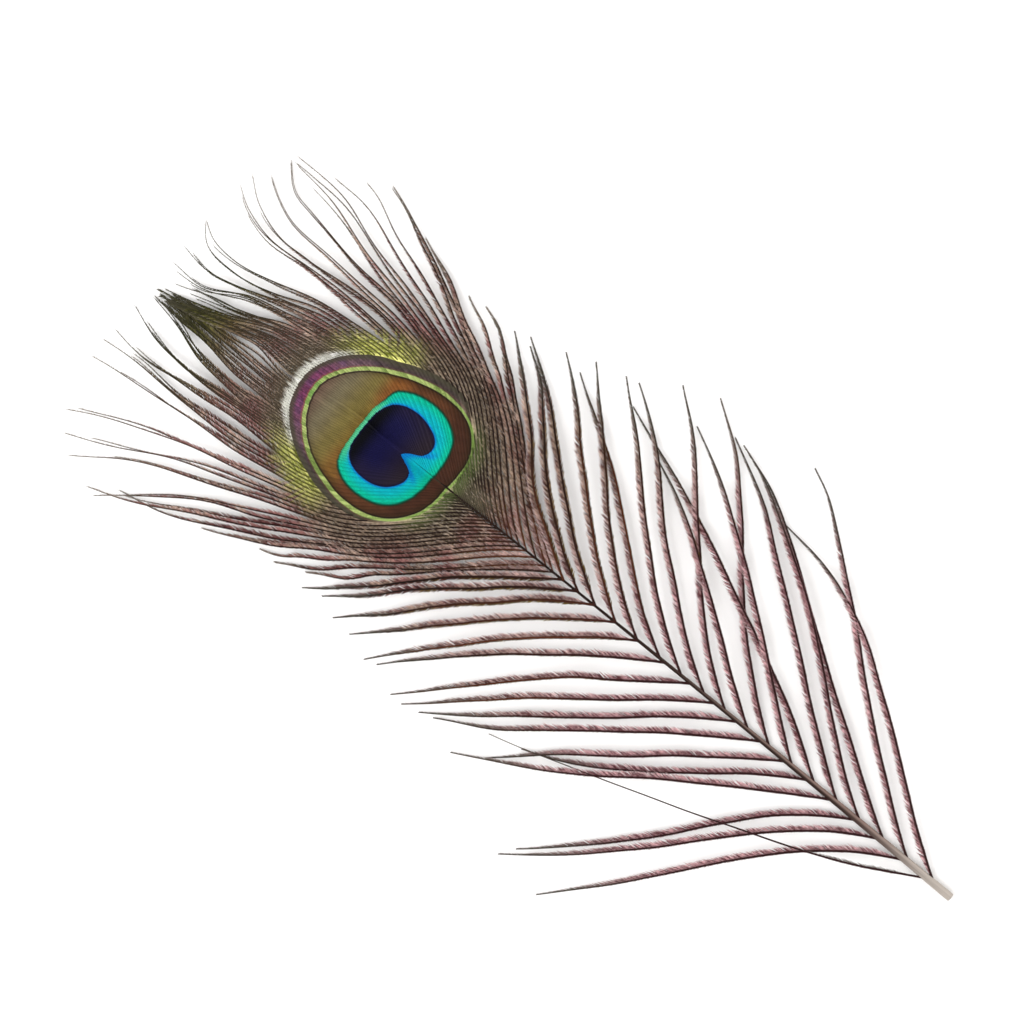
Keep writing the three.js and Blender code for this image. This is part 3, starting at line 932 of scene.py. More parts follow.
@dataclass
class EyeSheet:
    """The eye itself: barbs locked together into one ridged sheet, as far as the violet ring."""

    web: Web
    name: str
    rows: int = 60
    columns: int = 4
    ridge: float = 0.17
    uneven: float = 0.04
    ragged: float = 0.006
    thickness: float = 0.2
    shortest: int = 6
    map_margin: float = 0.01
    map_top: float = 0.64
    map_under: float = 0.665

    def stretch(self, line: Array) -> tuple[float, float] | None:
        """Gives the shares of a line between which it lies on the sheet."""
        share = np.linspace(0.0, 1.0, 400)
        fine = sample(share, np.linspace(0.0, 1.0, len(line)), line)
        inside = np.flatnonzero(SHEET_EDGE.beyond(fine) < 0)
        return (share[inside[0]], share[inside[-1]]) if len(inside) > self.shortest else None

    def lines(self, barbs: list[WebBarb]) -> Array:
        """Gives the flat line of each of the sheet's barbs, and last that of the seam."""
        lines = [self.web.line(barb) for barb in barbs]
        share = np.linspace(0.0, 1.0, len(lines[0]))
        seam = np.array([SEAM_FOOT, float(self.web.lie.shaft_middle(SEAM_FOOT))])
        return np.stack([*lines, mix(seam, np.array(SEAM_TIP), share[:, None])])

    def cut(self, lines: Array, ragged: Array) -> tuple[Array, Array]:
        """Cuts the lines, and the ones between them, to the sheet's outline.

        Args:
            lines: The flat lines of the barbs and the seam.
            ragged: How far each runs on past the outline, as a share of its length.

        Returns:
            The place of each cut line among the barbs, and its points.
        """
        position = np.arange((len(lines) - 1) * self.columns + 1) / self.columns
        low = np.minimum(position.astype(int), len(lines) - 2)
        between = mix(lines[low], lines[low + 1], (position - low)[:, None, None])
        source = np.linspace(0.0, 1.0, lines.shape[1])
        kept, rows = [], []
        for place, line in zip(position, between):
            found = self.stretch(line)
            if found is None:
                continue
            begin, end = found
            stray = float(np.interp(place, np.arange(len(lines)), ragged))
            begin = begin - stray if begin > 0 else begin
            at = mix(begin, end + stray, np.linspace(0.0, 1.0, self.rows + 1))
            rows.append(sample(at, source, line))
            kept.append(place)
        return np.array(kept), np.stack(rows)

    def skin(self, total: int) -> list[Array]:
        """Gives the faces of the top, the underside and the walls of a sheet of total cut lines."""
        count = self.rows + 1
        grid = np.arange(total * count).reshape(total, count)
        cells = np.stack([grid[:-1, :-1], grid[1:, :-1], grid[1:, 1:], grid[:-1, 1:]], axis=-1)
        cells = cells.reshape(-1, 4)
        border = np.concatenate([grid[:, 0], grid[-1, 1:], grid[-2::-1, -1], grid[0, -2:0:-1]])
        after = np.roll(border, -1)
        walls = np.stack([border, border + grid.size, after + grid.size, after], axis=-1)
        skin = [cells[:, ::-1], cells + grid.size, walls]
        return [faces[:, ::-1] for faces in skin] if self.web.side is Side.LEFT else skin

    def build(self, ground: Ground, barbs: list[WebBarb], rng: np.random.Generator) -> bpy.types.Object:
        """Makes the ridged sheet, with an along value of 0 on its top and 1 beneath it.

        Args:
            ground: Where the feather lies in the row's frame.
            barbs: The sheet's barbs, from the flank to the tip of the eye.
            rng: Gives each ridge its own height.

        Returns:
            The sheet's object.
        """
        lines = self.lines(barbs)
        position, flat = self.cut(lines, rng.normal(0.0, self.ragged, len(lines)))
        total = len(position)
        valley = 0.5 - 0.5 * np.cos(2 * np.pi * position)
        foot = np.linalg.norm(flat - flat[:, :1], axis=2)
        rising = smooth(foot, 0.0, 2.0)
        lift = np.append(rng.normal(0.0, self.uneven, len(barbs)), 0.0)
        height = self.web.lie.vane(flat[..., 1]) - self.ridge * valley[:, None] * rising
        height = height + np.interp(position, np.arange(len(lines)), lift)[:, None] * rising
        step = np.linalg.norm(np.diff(flat, axis=1), axis=2)
        reach = np.concatenate([np.zeros((total, 1)), np.cumsum(step, axis=1)], axis=1)
        strand = rng.uniform(0, 1, len(lines) + 1)[np.floor(position + 0.5).astype(int)]
        values = np.stack([
            np.zeros(reach.shape), reach, valley[:, None] * smooth(foot, 0.3, 2.6),
            np.broadcast_to(strand[:, None], reach.shape),
        ], axis=-1).reshape(-1, 4)
        u = np.broadcast_to((np.arange(total) / total)[:, None], reach.shape)
        u = u * (1.0 - 2.0 * self.map_margin) + self.map_margin
        v = np.broadcast_to(np.linspace(0.0, 1.0, self.rows + 1), reach.shape)
        v = v * self.map_top + self.map_margin
        top = np.concatenate([flat, height[..., None]], axis=-1).reshape(-1, 3)
        parts = MeshParts()
        parts.add(
            np.concatenate([top, top - self.thickness * UP]),
            np.concatenate([values, values + np.array([1.0, 0.0, 0.0, 0.0])]),
            np.concatenate([np.stack([u, level], axis=-1).reshape(-1, 2)
                            for level in (v, v / 2 + self.map_under)]),
            self.skin(total),
        )
        return parts.build(self.name, ground)


@dataclass
class WebHairs:
    """The close-set barbs where they show singly: beside the eye, and in the tufts of the fringe."""

    web: Web
    name: str
    rib_half: float = 0.3
    hair_half: float = 0.25
    tip_half: float = 0.18
    point_half: float = 0.06
    point_from: float = 0.84
    sides: int = 4
    tuft_fullness: tuple[float, float] = (0.36, 0.85)
    bare_fullness: float = 0.32
    shortest_end: float = 0.82
    scatter: tuple[float, float] = (0.9, 0.7)
    front: Barbules = field(default_factory=lambda: Barbules(
        pitch=0.36, length=3.4, lean=30.0, width=0.32, depth=0.05, kinship=0.35))
    back: Barbules = field(default_factory=lambda: Barbules(
        pitch=0.5, length=1.0, lean=24.0, width=0.24, depth=0.05, kinship=0.35, band=(0.28, 0.0),
        back=True))

    def clearance(self, rib: Rib) -> Array:
        """Gives the share of full length at which barbules stop short of the eye, along a rib."""
        lean = math.radians(self.front.lean)
        way = rib.ahead * math.cos(lean) - rib.left * (self.web.side.value * math.sin(lean))
        root = WEB_EDGE.beyond(rib.places)
        tip = WEB_EDGE.beyond(rib.places + way * self.front.length)
        room = np.clip(root / np.maximum(root - tip, 0.001), 0.0, 1.0)
        return np.where(tip < 0, room, smooth(root, -0.9, 0.1))

    def grow(self, parts: MeshParts, barb: WebBarb, strip: Strip, leader: bool,
             rng: np.random.Generator) -> None:
        """Adds one barb with its barbules.

        Args:
            parts: Gathers the barb.
            barb: The barb to add.
            strip: Its strip of the bake map.
            leader: Whether it is the one hair of its lock that reaches the lock's tip.
            rng: Gives it its own end, waver and colour.
        """
        end = 1.0 if leader else rng.uniform(self.shortest_end, 1.0)
        tuft = barb.tufted()
        scatter = 0.0 if leader else rng.normal(0.0, mix(*self.scatter, tuft))
        rib = Rib(self.web.whole(barb, end, scatter, rng))
        along = rib.reach / rib.length
        rim = along[self.web.vane_steps]
        seen = self.clearance(rib)
        half = np.interp(along, [0.0, rim, max(rim, self.point_from), 1.0],
                         [self.rib_half, self.hair_half, self.tip_half, self.point_half])
        add_tube(parts, rib, half, half, self.sides, strip, rng.uniform())
        clothed = max(tuft, 1.0 - float(smooth(barb.rank, 0.04, 0.2)))
        stop = mix(rim, 1.0, mix(rng.uniform(0.66, 0.95), 1.1, clothed))
        fullness = mix(*self.web.fullness, smooth(barb.rank, 0.03, 0.28))

        def share(at: Array) -> Array:
            """Gives the barbules' share of full length along this barb."""
            shown = np.interp(at, along, seen) * smooth(at, 0.0, 0.03)
            dense = mix(*self.tuft_fullness, smooth(at, rim + 0.2, 0.85))
            leaving = smooth(at, rim - mix(0.1, 0.2, tuft), rim + 0.12)
            full = mix(1.0, mix(fullness, dense, tuft), leaving)
            return shown * full * mix(1.0, self.bare_fullness, smooth(at, stop - 0.3, stop))

        turn = self.web.side.value
        self.front.grow(parts, rib, -turn, share, strip, rng, 0.005, 0.99)
        self.back.grow(parts, rib, turn, share, strip, rng, 0.005, 0.99)

    def build(self, ground: Ground, barbs: list[WebBarb], rng: np.random.Generator) -> bpy.types.Object:
        """Makes the object of these barbs."""
        parts = MeshParts()
        seen: set[int] = set()
        for row, barb in enumerate(barbs):
            self.grow(parts, barb, Strip(row, len(barbs)), barb.lock not in seen, rng)
            seen.add(barb.lock)
        return parts.build(self.name, ground)


def paint(red: int, green: int, blue: int) -> tuple[float, float, float, float]:
    """Turns a colour as it looks in the studio, 0 to 255, into the linear one that a shader takes."""
    def linear(level: int) -> float:
        share = level / 255
        return (share / 12.92 if share <= 0.04045 else ((share + 0.055) / 1.055) ** 2.4) / STUDIO_LIGHT

    return linear(red), linear(green), linear(blue), 1.0


class Sketch:
    """Writes a node tree as plain arithmetic, so that a finish reads like a formula."""

    def __init__(self, tree: bpy.types.NodeTree) -> None:
        self.tree = tree

    def node(self, kind: str, **settings: object) -> bpy.types.Node:
        """Adds a node and sets its properties."""
        made = self.tree.nodes.new(kind)
        for label, value in settings.items():
            setattr(made, label, value)
        return made

    def feed(self, socket: Socket, value: object) -> None:
        """Links a socket to another, or gives it a value of its own."""
        if isinstance(value, bpy.types.NodeSocket):
            self.tree.links.new(value, socket)
        else:
            socket.default_value = value

    def math(self, operation: str, *values: Value) -> Socket:
        """Combines numbers with one of Blender's math operations."""
        made = self.node("ShaderNodeMath", operation=operation)
        for socket, value in zip(made.inputs, values):
            self.feed(socket, value)
        return made.outputs[0]

    def add(self, first: Value, second: Value) -> Socket:
        """Adds two numbers."""
        return self.math("ADD", first, second)

    def minus(self, first: Value, second: Value) -> Socket:
        """Takes the second number from the first."""
        return self.math("SUBTRACT", first, second)

    def times(self, first: Value, second: Value) -> Socket:
        """Multiplies two numbers."""
        return self.math("MULTIPLY", first, second)

    def most(self, first: Value, second: Value) -> Socket:
        """Gives the larger of two numbers."""
        return self.math("MAXIMUM", first, second)

    def apart(self, first: Value, second: Value) -> Socket:
        """Gives how far apart two numbers are."""
        return self.math("ABSOLUTE", self.minus(first, second))

    def ease(self, value: Value, low: float, high: float, start: float = 0.0, end: float = 1.0) -> Socket:
        """Eases from start to end as value goes from low to high."""
        made = self.node("ShaderNodeMapRange", interpolation_type="SMOOTHSTEP")
        for label, item in (("Value", value), ("From Min", low), ("From Max", high),
                            ("To Min", start), ("To Max", end)):
            self.feed(made.inputs[label], item)
        return made.outputs["Result"]

    def fade(self, value: Value, low: float, high: float) -> Socket:
        """Eases from 1 to 0 as value goes from low to high."""
        return self.ease(value, low, high, 1.0, 0.0)

    def band(self, value: Value, low: float, high: float, soft: float) -> Socket:
        """Gives 1 between low and high, with soft edges."""
        return self.times(self.ease(value, low - soft, low + soft),
                          self.fade(value, high - soft, high + soft))

    def blend(self, share: Value, first: object, second: object) -> Socket:
        """Mixes two colours."""
        made = self.node("ShaderNodeMix", data_type="RGBA")
        self.feed(made.inputs["Factor"], share)
        self.feed(made.inputs[6], first)
        self.feed(made.inputs[7], second)
        return made.outputs[2]

    def layer(self, colour: Socket, *coats: tuple[Value, object]) -> Socket:
        """Lays coats over a colour one by one, each with its share."""
        for share, coat in coats:
            colour = self.blend(share, colour, coat)
        return colour

    def shade(self, share: Value, colour: object) -> Socket:
        """Multiplies a colour by a number."""
        made = self.node("ShaderNodeVectorMath", operation="SCALE")
        self.feed(made.inputs[0], colour)
        self.feed(made.inputs["Scale"], share)
        return made.outputs[0]

    def vector(self, x: Value, y: Value, z: Value = 0.0) -> Socket:
        """Joins three numbers into a vector."""
        made = self.node("ShaderNodeCombineXYZ")
        for socket, value in zip(made.inputs, (x, y, z)):
            self.feed(socket, value)
        return made.outputs[0]

    def noise(self, vector: Socket, scale: float, detail: float = 2.0) -> Socket:
        """Gives soft noise, 0 to 1."""
        made = self.node("ShaderNodeTexNoise")
        self.feed(made.inputs["Vector"], vector)
        made.inputs["Scale"].default_value = scale
        made.inputs["Detail"].default_value = detail
        return made.outputs["Fac"]

    def attribute(self, label: str) -> Socket:
        """Reads one of the mesh's own values."""
        return self.node("ShaderNodeAttribute", attribute_name=label).outputs["Fac"]

    def use(self, group: bpy.types.NodeTree, **values: object) -> bpy.types.Node:
        """Places a shared group and feeds its inputs by name."""
        made = self.node("ShaderNodeGroup")
        made.node_tree = group
        for label, value in values.items():
            self.feed(made.inputs[label], value)
        return made

    def outline(self, turn: Socket, contour: Contour) -> Socket:
        """Gives an outline's radius, in millimetres, at a share of the turn round the eye."""
        made = self.node("ShaderNodeFloatCurve")
        curve = made.mapping.curves[0]
        places = [(angle / 360 + 0.5, radius / EYE_REACH)
                  for angle, radius in zip(contour.angles, contour.radii)]
        for place in places[1:-1]:
            curve.points.new(*place)
        curve.points[0].location = places[0]
        curve.points[len(places) - 1].location = places[-1]
        for point in curve.points:
            point.handle_type = "AUTO_CLAMPED"
        made.mapping.update()
        self.feed(made.inputs["Value"], turn)
        return self.times(made.outputs[0], EYE_REACH)


def make_group(name: str, inputs: dict[str, str], outputs: dict[str, str]
               ) -> tuple[bpy.types.NodeTree, bpy.types.Node, bpy.types.Node, Sketch]:
    """Starts a shader node group.

    Args:
        name: The group's name.
        inputs: Labels of its inputs and their socket kinds, without the prefix NodeSocket.
        outputs: The same for its outputs.

    Returns:
        The tree, its input node, its output node and a sketch to write it with.
    """
    tree = bpy.data.node_groups.new(name, "ShaderNodeTree")
    for label, kind in inputs.items():
        tree.interface.new_socket(label, in_out="INPUT", socket_type="NodeSocket" + kind)
    for label, kind in outputs.items():
        tree.interface.new_socket(label, in_out="OUTPUT", socket_type="NodeSocket" + kind)
    sketch = Sketch(tree)
    return tree, sketch.node("NodeGroupInput"), sketch.node("NodeGroupOutput"), sketch


def place_group(ground: Ground) -> bpy.types.NodeTree:
    """Makes the group that turns a point of the row's frame into the feather's own millimetres."""
    tree, given, result, sketch = make_group("Place on the feather", {"Point": "Vector"},
                                             {"X": "Float", "Y": "Float"})
    parts = sketch.node("ShaderNodeSeparateXYZ")
    sketch.feed(parts.inputs[0], given.outputs["Point"])
    for label, origin in (("X", ground.x), ("Y", ground.y)):
        millimetres = sketch.times(parts.outputs[label], 1.0 / MM)
        sketch.feed(result.inputs[label], sketch.minus(millimetres, origin))
    return tree


def round_group() -> bpy.types.NodeTree:
    """Makes the group that measures a place by its turn and distance round the eye's centre."""
    tree, given, result, s = make_group("Round the eye", {"X": "Float", "Y": "Float"},
                                        {"Turn": "Float", "Radius": "Float"})
    ahead = s.minus(given.outputs["X"], EYE_CENTRE[0])
    aside = s.minus(given.outputs["Y"], EYE_CENTRE[1])
    angle = s.math("ARCTAN2", aside, ahead)
    s.feed(result.inputs["Turn"], s.add(s.times(angle, 1.0 / (2 * math.pi)), 0.5))
    squares = s.add(s.times(ahead, ahead), s.times(aside, aside))
    s.feed(result.inputs["Radius"], s.math("SQRT", squares))
    return tree


@dataclass(frozen=True)
class Spot:
    """Where a point lies on the feather and round the eye, with what sets its barb apart."""

    x: Socket
    y: Socket
    strand: Socket
    grain: Socket
    turn: Socket
    radius: Socket
    side: Socket

    @classmethod
    def find(cls, s: Sketch, round_eye: bpy.types.NodeTree, given: bpy.types.Node, x: Socket) -> "Spot":
        """Measures the point that a group is given, at its own x, round the eye's centre."""
        y = given.outputs["Y"]
        around = s.use(round_eye, X=x, Y=y)
        turn = around.outputs["Turn"]
        return cls(x, y, given.outputs["Strand"], given.outputs["Shade"], turn,
                   around.outputs["Radius"], s.apart(turn, TIP_TURN))

    def past(self, s: Sketch, edge: Contour) -> Socket:
        """Gives how far the point lies outside one of the eye's outlines, in millimetres."""
        return s.minus(self.radius, s.outline(self.turn, edge))


@dataclass(frozen=True)
class Tint:
    """A colour of barbules, from its darkest strands to its lightest, as it looks in the studio."""

    dark: tuple[int, int, int]
    light: tuple[int, int, int]

    def at(self, s: Sketch, lift: Socket) -> Socket:
        """Gives the colour of a strand by its lift, 0 for the darkest and 1 for the lightest."""
        return s.blend(lift, paint(*self.dark), paint(*self.light))


@dataclass(frozen=True)
class EyePattern:
    """The rings of the eye, from the violet ring in to the indigo heart."""

    stray: float = 0.18
    lime: Tint = Tint((104, 130, 58), (192, 210, 126))
    lime_width: float = 1.25
    lime_width_back: float = 0.8

    def field(self, s: Sketch, spot: Spot, past_field: Socket, mottle: Socket) -> Socket:
        """Paints the ground inside the lime ring: red-brown by the quill, olive towards the tip."""
        x, side = spot.x, spot.side
        orange = s.blend(s.ease(spot.y, -4.0, 6.0), paint(136, 84, 38), paint(126, 90, 40))
        tone = s.layer(
            s.blend(s.ease(x, 182.0, 196.0), paint(70, 40, 26), paint(100, 60, 34)),
            (s.ease(x, 198.0, 204.0), s.blend(s.ease(side, 0.07, 0.13), paint(128, 102, 42), orange)),
            (s.ease(x, 204.5, 209.5), paint(126, 112, 60)),
            (s.ease(x, 209.0, 216.0), paint(122, 112, 86)),
            (s.ease(x, 215.0, 221.0), paint(124, 98, 84)),
        )
        tone = s.shade(s.ease(mottle, 0.3, 0.7, 0.84, 1.14), tone)
        edge = s.times(s.ease(past_field, -2.4, -0.3), s.ease(side, 0.04, 0.2, 0.3, 0.62))
        border = s.times(s.band(past_field, -0.42, 0.1, 0.12), 0.8)
        return s.layer(tone, (edge, paint(52, 34, 16)), (border, paint(30, 24, 10)))

    def sea(self, s: Sketch, spot: Spot, past_sea: Socket, past_heart: Socket) -> Socket:
        """Paints the turquoise round the heart: blue next to it, cyan, then green at the edge."""
        side = spot.side
        near = s.fade(past_heart, 0.0, 0.8)
        far = s.times(s.fade(past_heart, 0.4, 4.4), s.ease(side, 0.42, 0.45))
        tone = s.layer(
            s.blend(s.ease(past_sea, -3.8, -0.8), paint(0, 182, 196), paint(0, 192, 156)),
            (s.times(s.most(near, far), 0.8), paint(0, 112, 214)),
            (s.times(s.fade(side, 0.08, 0.17), 0.8), paint(104, 218, 150)),
        )
        tone = s.shade(s.ease(spot.grain, 0.0, 1.0, 0.84, 1.1), tone)
        edge = s.times(s.ease(past_sea, -0.75, -0.05), s.ease(side, 0.09, 0.17, 0.35, 0.95))
        return s.blend(edge, tone, paint(4, 58, 40))

    def heart(self, s: Sketch, spot: Spot, past_heart: Socket) -> Socket:
        """Paints the heart: smoky lobes, indigo in the middle and black towards the tip."""
        lobes = s.ease(s.apart(spot.y, 0.5), 5.0, 11.0)
        return s.layer(
            s.blend(s.ease(spot.x, 187.0, 197.0), paint(42, 33, 42), paint(20, 18, 66)),
            (s.times(lobes, 0.6), paint(36, 28, 44)),
            (s.ease(spot.x, 198.0, 202.5), paint(4, 4, 14)),
            (s.times(s.ease(past_heart, -0.9, 0.0), 0.8), paint(4, 6, 50)),
        )

    def violet(self, s: Sketch, spot: Spot, past_field: Socket, past_violet: Socket,
               mottle: Socket) -> Socket:
        """Paints the violet ring: mauve at the tip, grey-brown at its sides and at its border."""
        side = spot.side
        tone = s.layer(
            s.blend(s.ease(side, 0.02, 0.09), paint(122, 62, 96), paint(108, 82, 92)),
            (s.times(s.ease(mottle, 0.45, 0.62), 0.5), paint(88, 62, 96)),
            (s.ease(side, 0.075, 0.16), paint(74, 62, 60)),
        )
        own = s.add(spot.strand, s.times(spot.grain, 0.5))
        flecks = s.noise(s.vector(spot.x, spot.y), 1.1, 3.0)
        tone = s.shade(s.ease(own, 0.2, 1.3, 0.72, 1.3), tone)
        tone = s.shade(s.ease(flecks, 0.35, 0.68, 0.74, 1.24), tone)
        border = s.times(s.ease(past_violet, -2.1, -0.7), 0.85)
        amber = s.times(s.band(past_field, 1.2, 1.65, 0.15), s.ease(side, 0.04, 0.14, 0.45, 0.12))
        return s.layer(tone, (border, paint(76, 72, 56)), (amber, paint(160, 96, 60)))

    def lime_ring(self, s: Sketch, spot: Spot) -> Socket:
        """Paints the lime ring: a fresher green at the tip and at the back."""
        lift = s.ease(s.add(s.times(spot.strand, 0.7), s.times(spot.grain, 0.6)), 0.2, 1.1)
        return s.layer(
            self.lime.at(s, lift),
            (s.ease(spot.side, 0.0, 0.05, 0.5, 0.0), paint(118, 176, 88)),
            (s.ease(spot.side, 0.28, 0.36, 0.0, 0.6), paint(122, 160, 74)),
        )

    def group(self, round_eye: bpy.types.NodeTree) -> bpy.types.NodeTree:
        """Makes the group that paints the rings.

        Args:
            round_eye: The group that measures places round the eye's centre.

        Returns:
            The new group.
        """
        tree, given, result, s = make_group(
            "Eye rings",
            {"X": "Float", "Y": "Float", "Strand": "Float", "Shade": "Float", "Outer": "Color"},
            {"Color": "Color", "Inside": "Float", "Shine": "Float"})
        raw_x = given.outputs["X"]
        x = s.add(raw_x, s.times(s.minus(given.outputs["Strand"], 0.5), self.stray))
        spot = Spot.find(s, round_eye, given, x)
        side = spot.side
        past_field, past_violet, past_sea, past_heart = (
            spot.past(s, edge) for edge in (FIELD_EDGE, VIOLET_EDGE, SEA_EDGE, HEART_EDGE))
        mottle = s.noise(s.vector(s.times(x, 0.5), spot.y), 0.5, 4.0)
        green_edge = s.times(s.fade(past_sea, 0.0, 0.55), s.ease(side, 0.09, 0.17, 0.3, 0.9))
        line = s.times(s.band(spot.y, -0.28, 0.02, 0.1), s.band(raw_x, 178.0, 187.0, 3.0))
        rim = s.times(s.fade(past_violet, -0.15, 0.15), s.fade(side, 0.3, 0.4))
        violet = self.violet(s, spot, past_field, past_violet, mottle)
        width = s.ease(side, 0.27, 0.34, self.lime_width, self.lime_width_back)
        ring = s.times(s.ease(past_field, 0.0, 0.2), s.fade(s.minus(past_field, width), -0.2, 0.15))
        colour = s.layer(
            self.field(s, spot, past_field, mottle),
            (green_edge, paint(8, 50, 30)),
            (s.fade(past_sea, -0.12, 0.12), self.sea(s, spot, past_sea, past_heart)),
            (s.fade(past_heart, -0.14, 0.14), self.heart(s, spot, past_heart)),
            (s.times(line, 0.5), paint(8, 60, 48)),
            (s.ease(past_field, -0.05, 0.15), s.blend(rim, given.outputs["Outer"], violet)),
            (ring, self.lime_ring(s, spot)),
        )
        s.feed(result.inputs["Color"], colour)
        s.feed(result.inputs["Inside"], s.fade(past_violet, -0.2, 0.6))
        s.feed(result.inputs["Shine"], s.fade(past_sea, -0.3, 0.3))
        return tree


@dataclass(frozen=True)
class BarbTones:
    """The colours of barbs by their place on the feather, outside the eye."""

    rose: Tint = Tint((118, 60, 66), (244, 192, 196))
    bronze: Tint = Tint((84, 46, 38), (238, 204, 194))
    brown: Tint = Tint((46, 28, 21), (242, 206, 186))
    gold: Tint = Tint((74, 52, 22), (172, 144, 82))
    red: Tint = Tint((76, 32, 36), (172, 106, 108))
    olive: Tint = Tint((40, 44, 14), (128, 124, 62))
    foot: Tint = Tint((64, 62, 44), (144, 142, 112))
    lime: Tint = Tint((112, 138, 66), (194, 216, 130))
    outlying: Tint = Tint((46, 34, 22), (196, 166, 140))
    dim: Tint = Tint((46, 40, 30), (184, 168, 140))
    grey: Tint = Tint((82, 76, 58), (180, 170, 144))
    green: Tint = Tint((118, 128, 30), (255, 254, 150))
    cream: Tint = Tint((238, 240, 228), (255, 255, 252))

    def vane(self, s: Sketch, spot: Spot, across: Socket, lift: Socket) -> tuple[Socket, Socket]:
        """Paints barbules and ribs along the feather, from rose by the quill to olive at the tip."""
        x, y = spot.x, spot.y
        golden = s.times(s.fade(across, -0.3, 0.1), s.band(x, 104.0, 172.0, 8.0))
        patch = s.noise(s.vector(s.times(x, 0.12), s.times(y, 0.12), 7.0), 1.0, 2.0)
        patch = s.add(patch, s.ease(y, 6.0, 20.0, 0.0, 0.06))
        reddish = s.times(s.ease(patch, 0.42, 0.62), s.ease(x, 146.0, 166.0))
        at_tip = s.times(s.ease(x, 232.0, 258.0), s.fade(s.apart(y, 4.0), 14.0, 32.0))
        colour = s.layer(
            self.rose.at(s, lift),
            (s.ease(x, 104.0, 136.0, 0.0, 0.85), self.bronze.at(s, lift)),
            (s.ease(x, 146.0, 166.0), self.brown.at(s, lift)),
            (golden, self.gold.at(s, lift)),
            (s.times(reddish, 0.8), self.red.at(s, lift)),
            (at_tip, self.olive.at(s, lift)),
        )
        tan = s.times(s.ease(spot.strand, 0.35, 0.85, 0.1, 0.8), s.band(x, 118.0, 160.0, 12.0))
        rib = s.layer(
            s.blend(s.ease(x, 110.0, 150.0), paint(52, 28, 28), paint(32, 18, 13)),
            (tan, paint(92, 50, 30)),
            (s.ease(x, 212.0, 240.0), paint(72, 58, 48)),
            (s.times(at_tip, 0.7), paint(40, 44, 18)),
        )
        return colour, rib

    def near_eye(self, s: Sketch, spot: Spot, lift: Socket, past_field: Socket, past_violet: Socket,
                 colour: Socket, rib: Socket) -> tuple[Socket, Socket]:
        """Paints barbules and ribs beside the eye: lime at its foot, dim and flecked round its rings."""
        side = spot.side
        foot = s.times(s.ease(side, 0.36, 0.45), s.fade(past_field, 3.0, 17.0))
        glow = s.times(s.ease(side, 0.34, 0.42), s.fade(past_field, 0.8, 5.5))
        outlying = s.times(s.fade(spot.y, -12.0, -6.0), s.band(spot.x, 138.0, 170.0, 8.0))
        beside = s.times(s.fade(past_violet, 3.0, 11.0), 0.75)
        dull = s.blend(s.ease(side, 0.05, 0.15), self.grey.at(s, lift), self.dim.at(s, lift))
        colour = s.layer(
            colour,
            (s.times(foot, 0.8), self.foot.at(s, lift)),
            (s.times(glow, 0.95), self.lime.at(s, lift)),
            (s.times(outlying, 0.5), self.outlying.at(s, lift)),
            (beside, dull),
        )
        flecks = s.noise(s.vector(spot.x, spot.y), 1.1, 3.0)
        by_shaft = s.times(s.band(spot.y, -5.5, -0.3, 1.5), s.fade(past_field, 8.0, 17.0))
        rib = s.layer(
            rib,
            (s.times(by_shaft, s.ease(side, 0.4, 0.45, 0.0, 0.7)), paint(96, 90, 70)),
            (s.times(glow, 0.7), paint(92, 110, 56)),
            (s.times(beside, s.ease(side, 0.18, 0.28, 0.7, 0.0)), paint(88, 80, 62)),
        )
        return s.shade(s.ease(flecks, 0.34, 0.66, 0.76, 1.25), colour), rib

    def crescent(self, s: Sketch, spot: Spot, lift: Socket, past_violet: Socket,
                 colour: Socket, rib: Socket) -> tuple[Socket, Socket]:
        """Paints the cream crescent at the eye's tip, with a yellow-green fan on both sides of it."""
        side = spot.side
        outer = s.ease(past_violet, -0.5, 0.0)
        fan = s.noise(s.vector(s.times(spot.turn, 240.0), s.times(spot.radius, 0.1)), 1.0, 1.0)
        length = s.ease(fan, 0.25, 0.75, 5.5, 10.0)
        faded = s.times(s.fade(s.minus(past_violet, length), -6.0, 1.0), outer)
        green = s.times(s.band(side, 0.085, 0.2, 0.035), faded)
        yellow = s.shade(s.ease(spot.y, -6.0, 6.0, 1.42, 1.15), self.green.at(s, lift))
        width = s.add(s.ease(side, 0.02, 0.09, 1.9, 1.1), s.times(s.minus(spot.strand, 0.5), 1.7))
        cream = s.times(s.fade(side, 0.075, 0.11), s.fade(s.minus(past_violet, width), -1.1, 1.0))
        cream = s.times(cream, outer)
        colour = s.layer(
            colour,
            (s.times(green, s.ease(spot.strand, 0.0, 0.4, 0.8, 1.0)), yellow),
            (cream, s.shade(1.22, self.cream.at(s, lift))),
        )
        rib = s.layer(
            rib,
            (s.times(green, 0.6), paint(104, 108, 40)),
            (s.times(cream, s.ease(side, 0.03, 0.08, 0.9, 0.25)), paint(238, 238, 224)),
        )
        return colour, rib

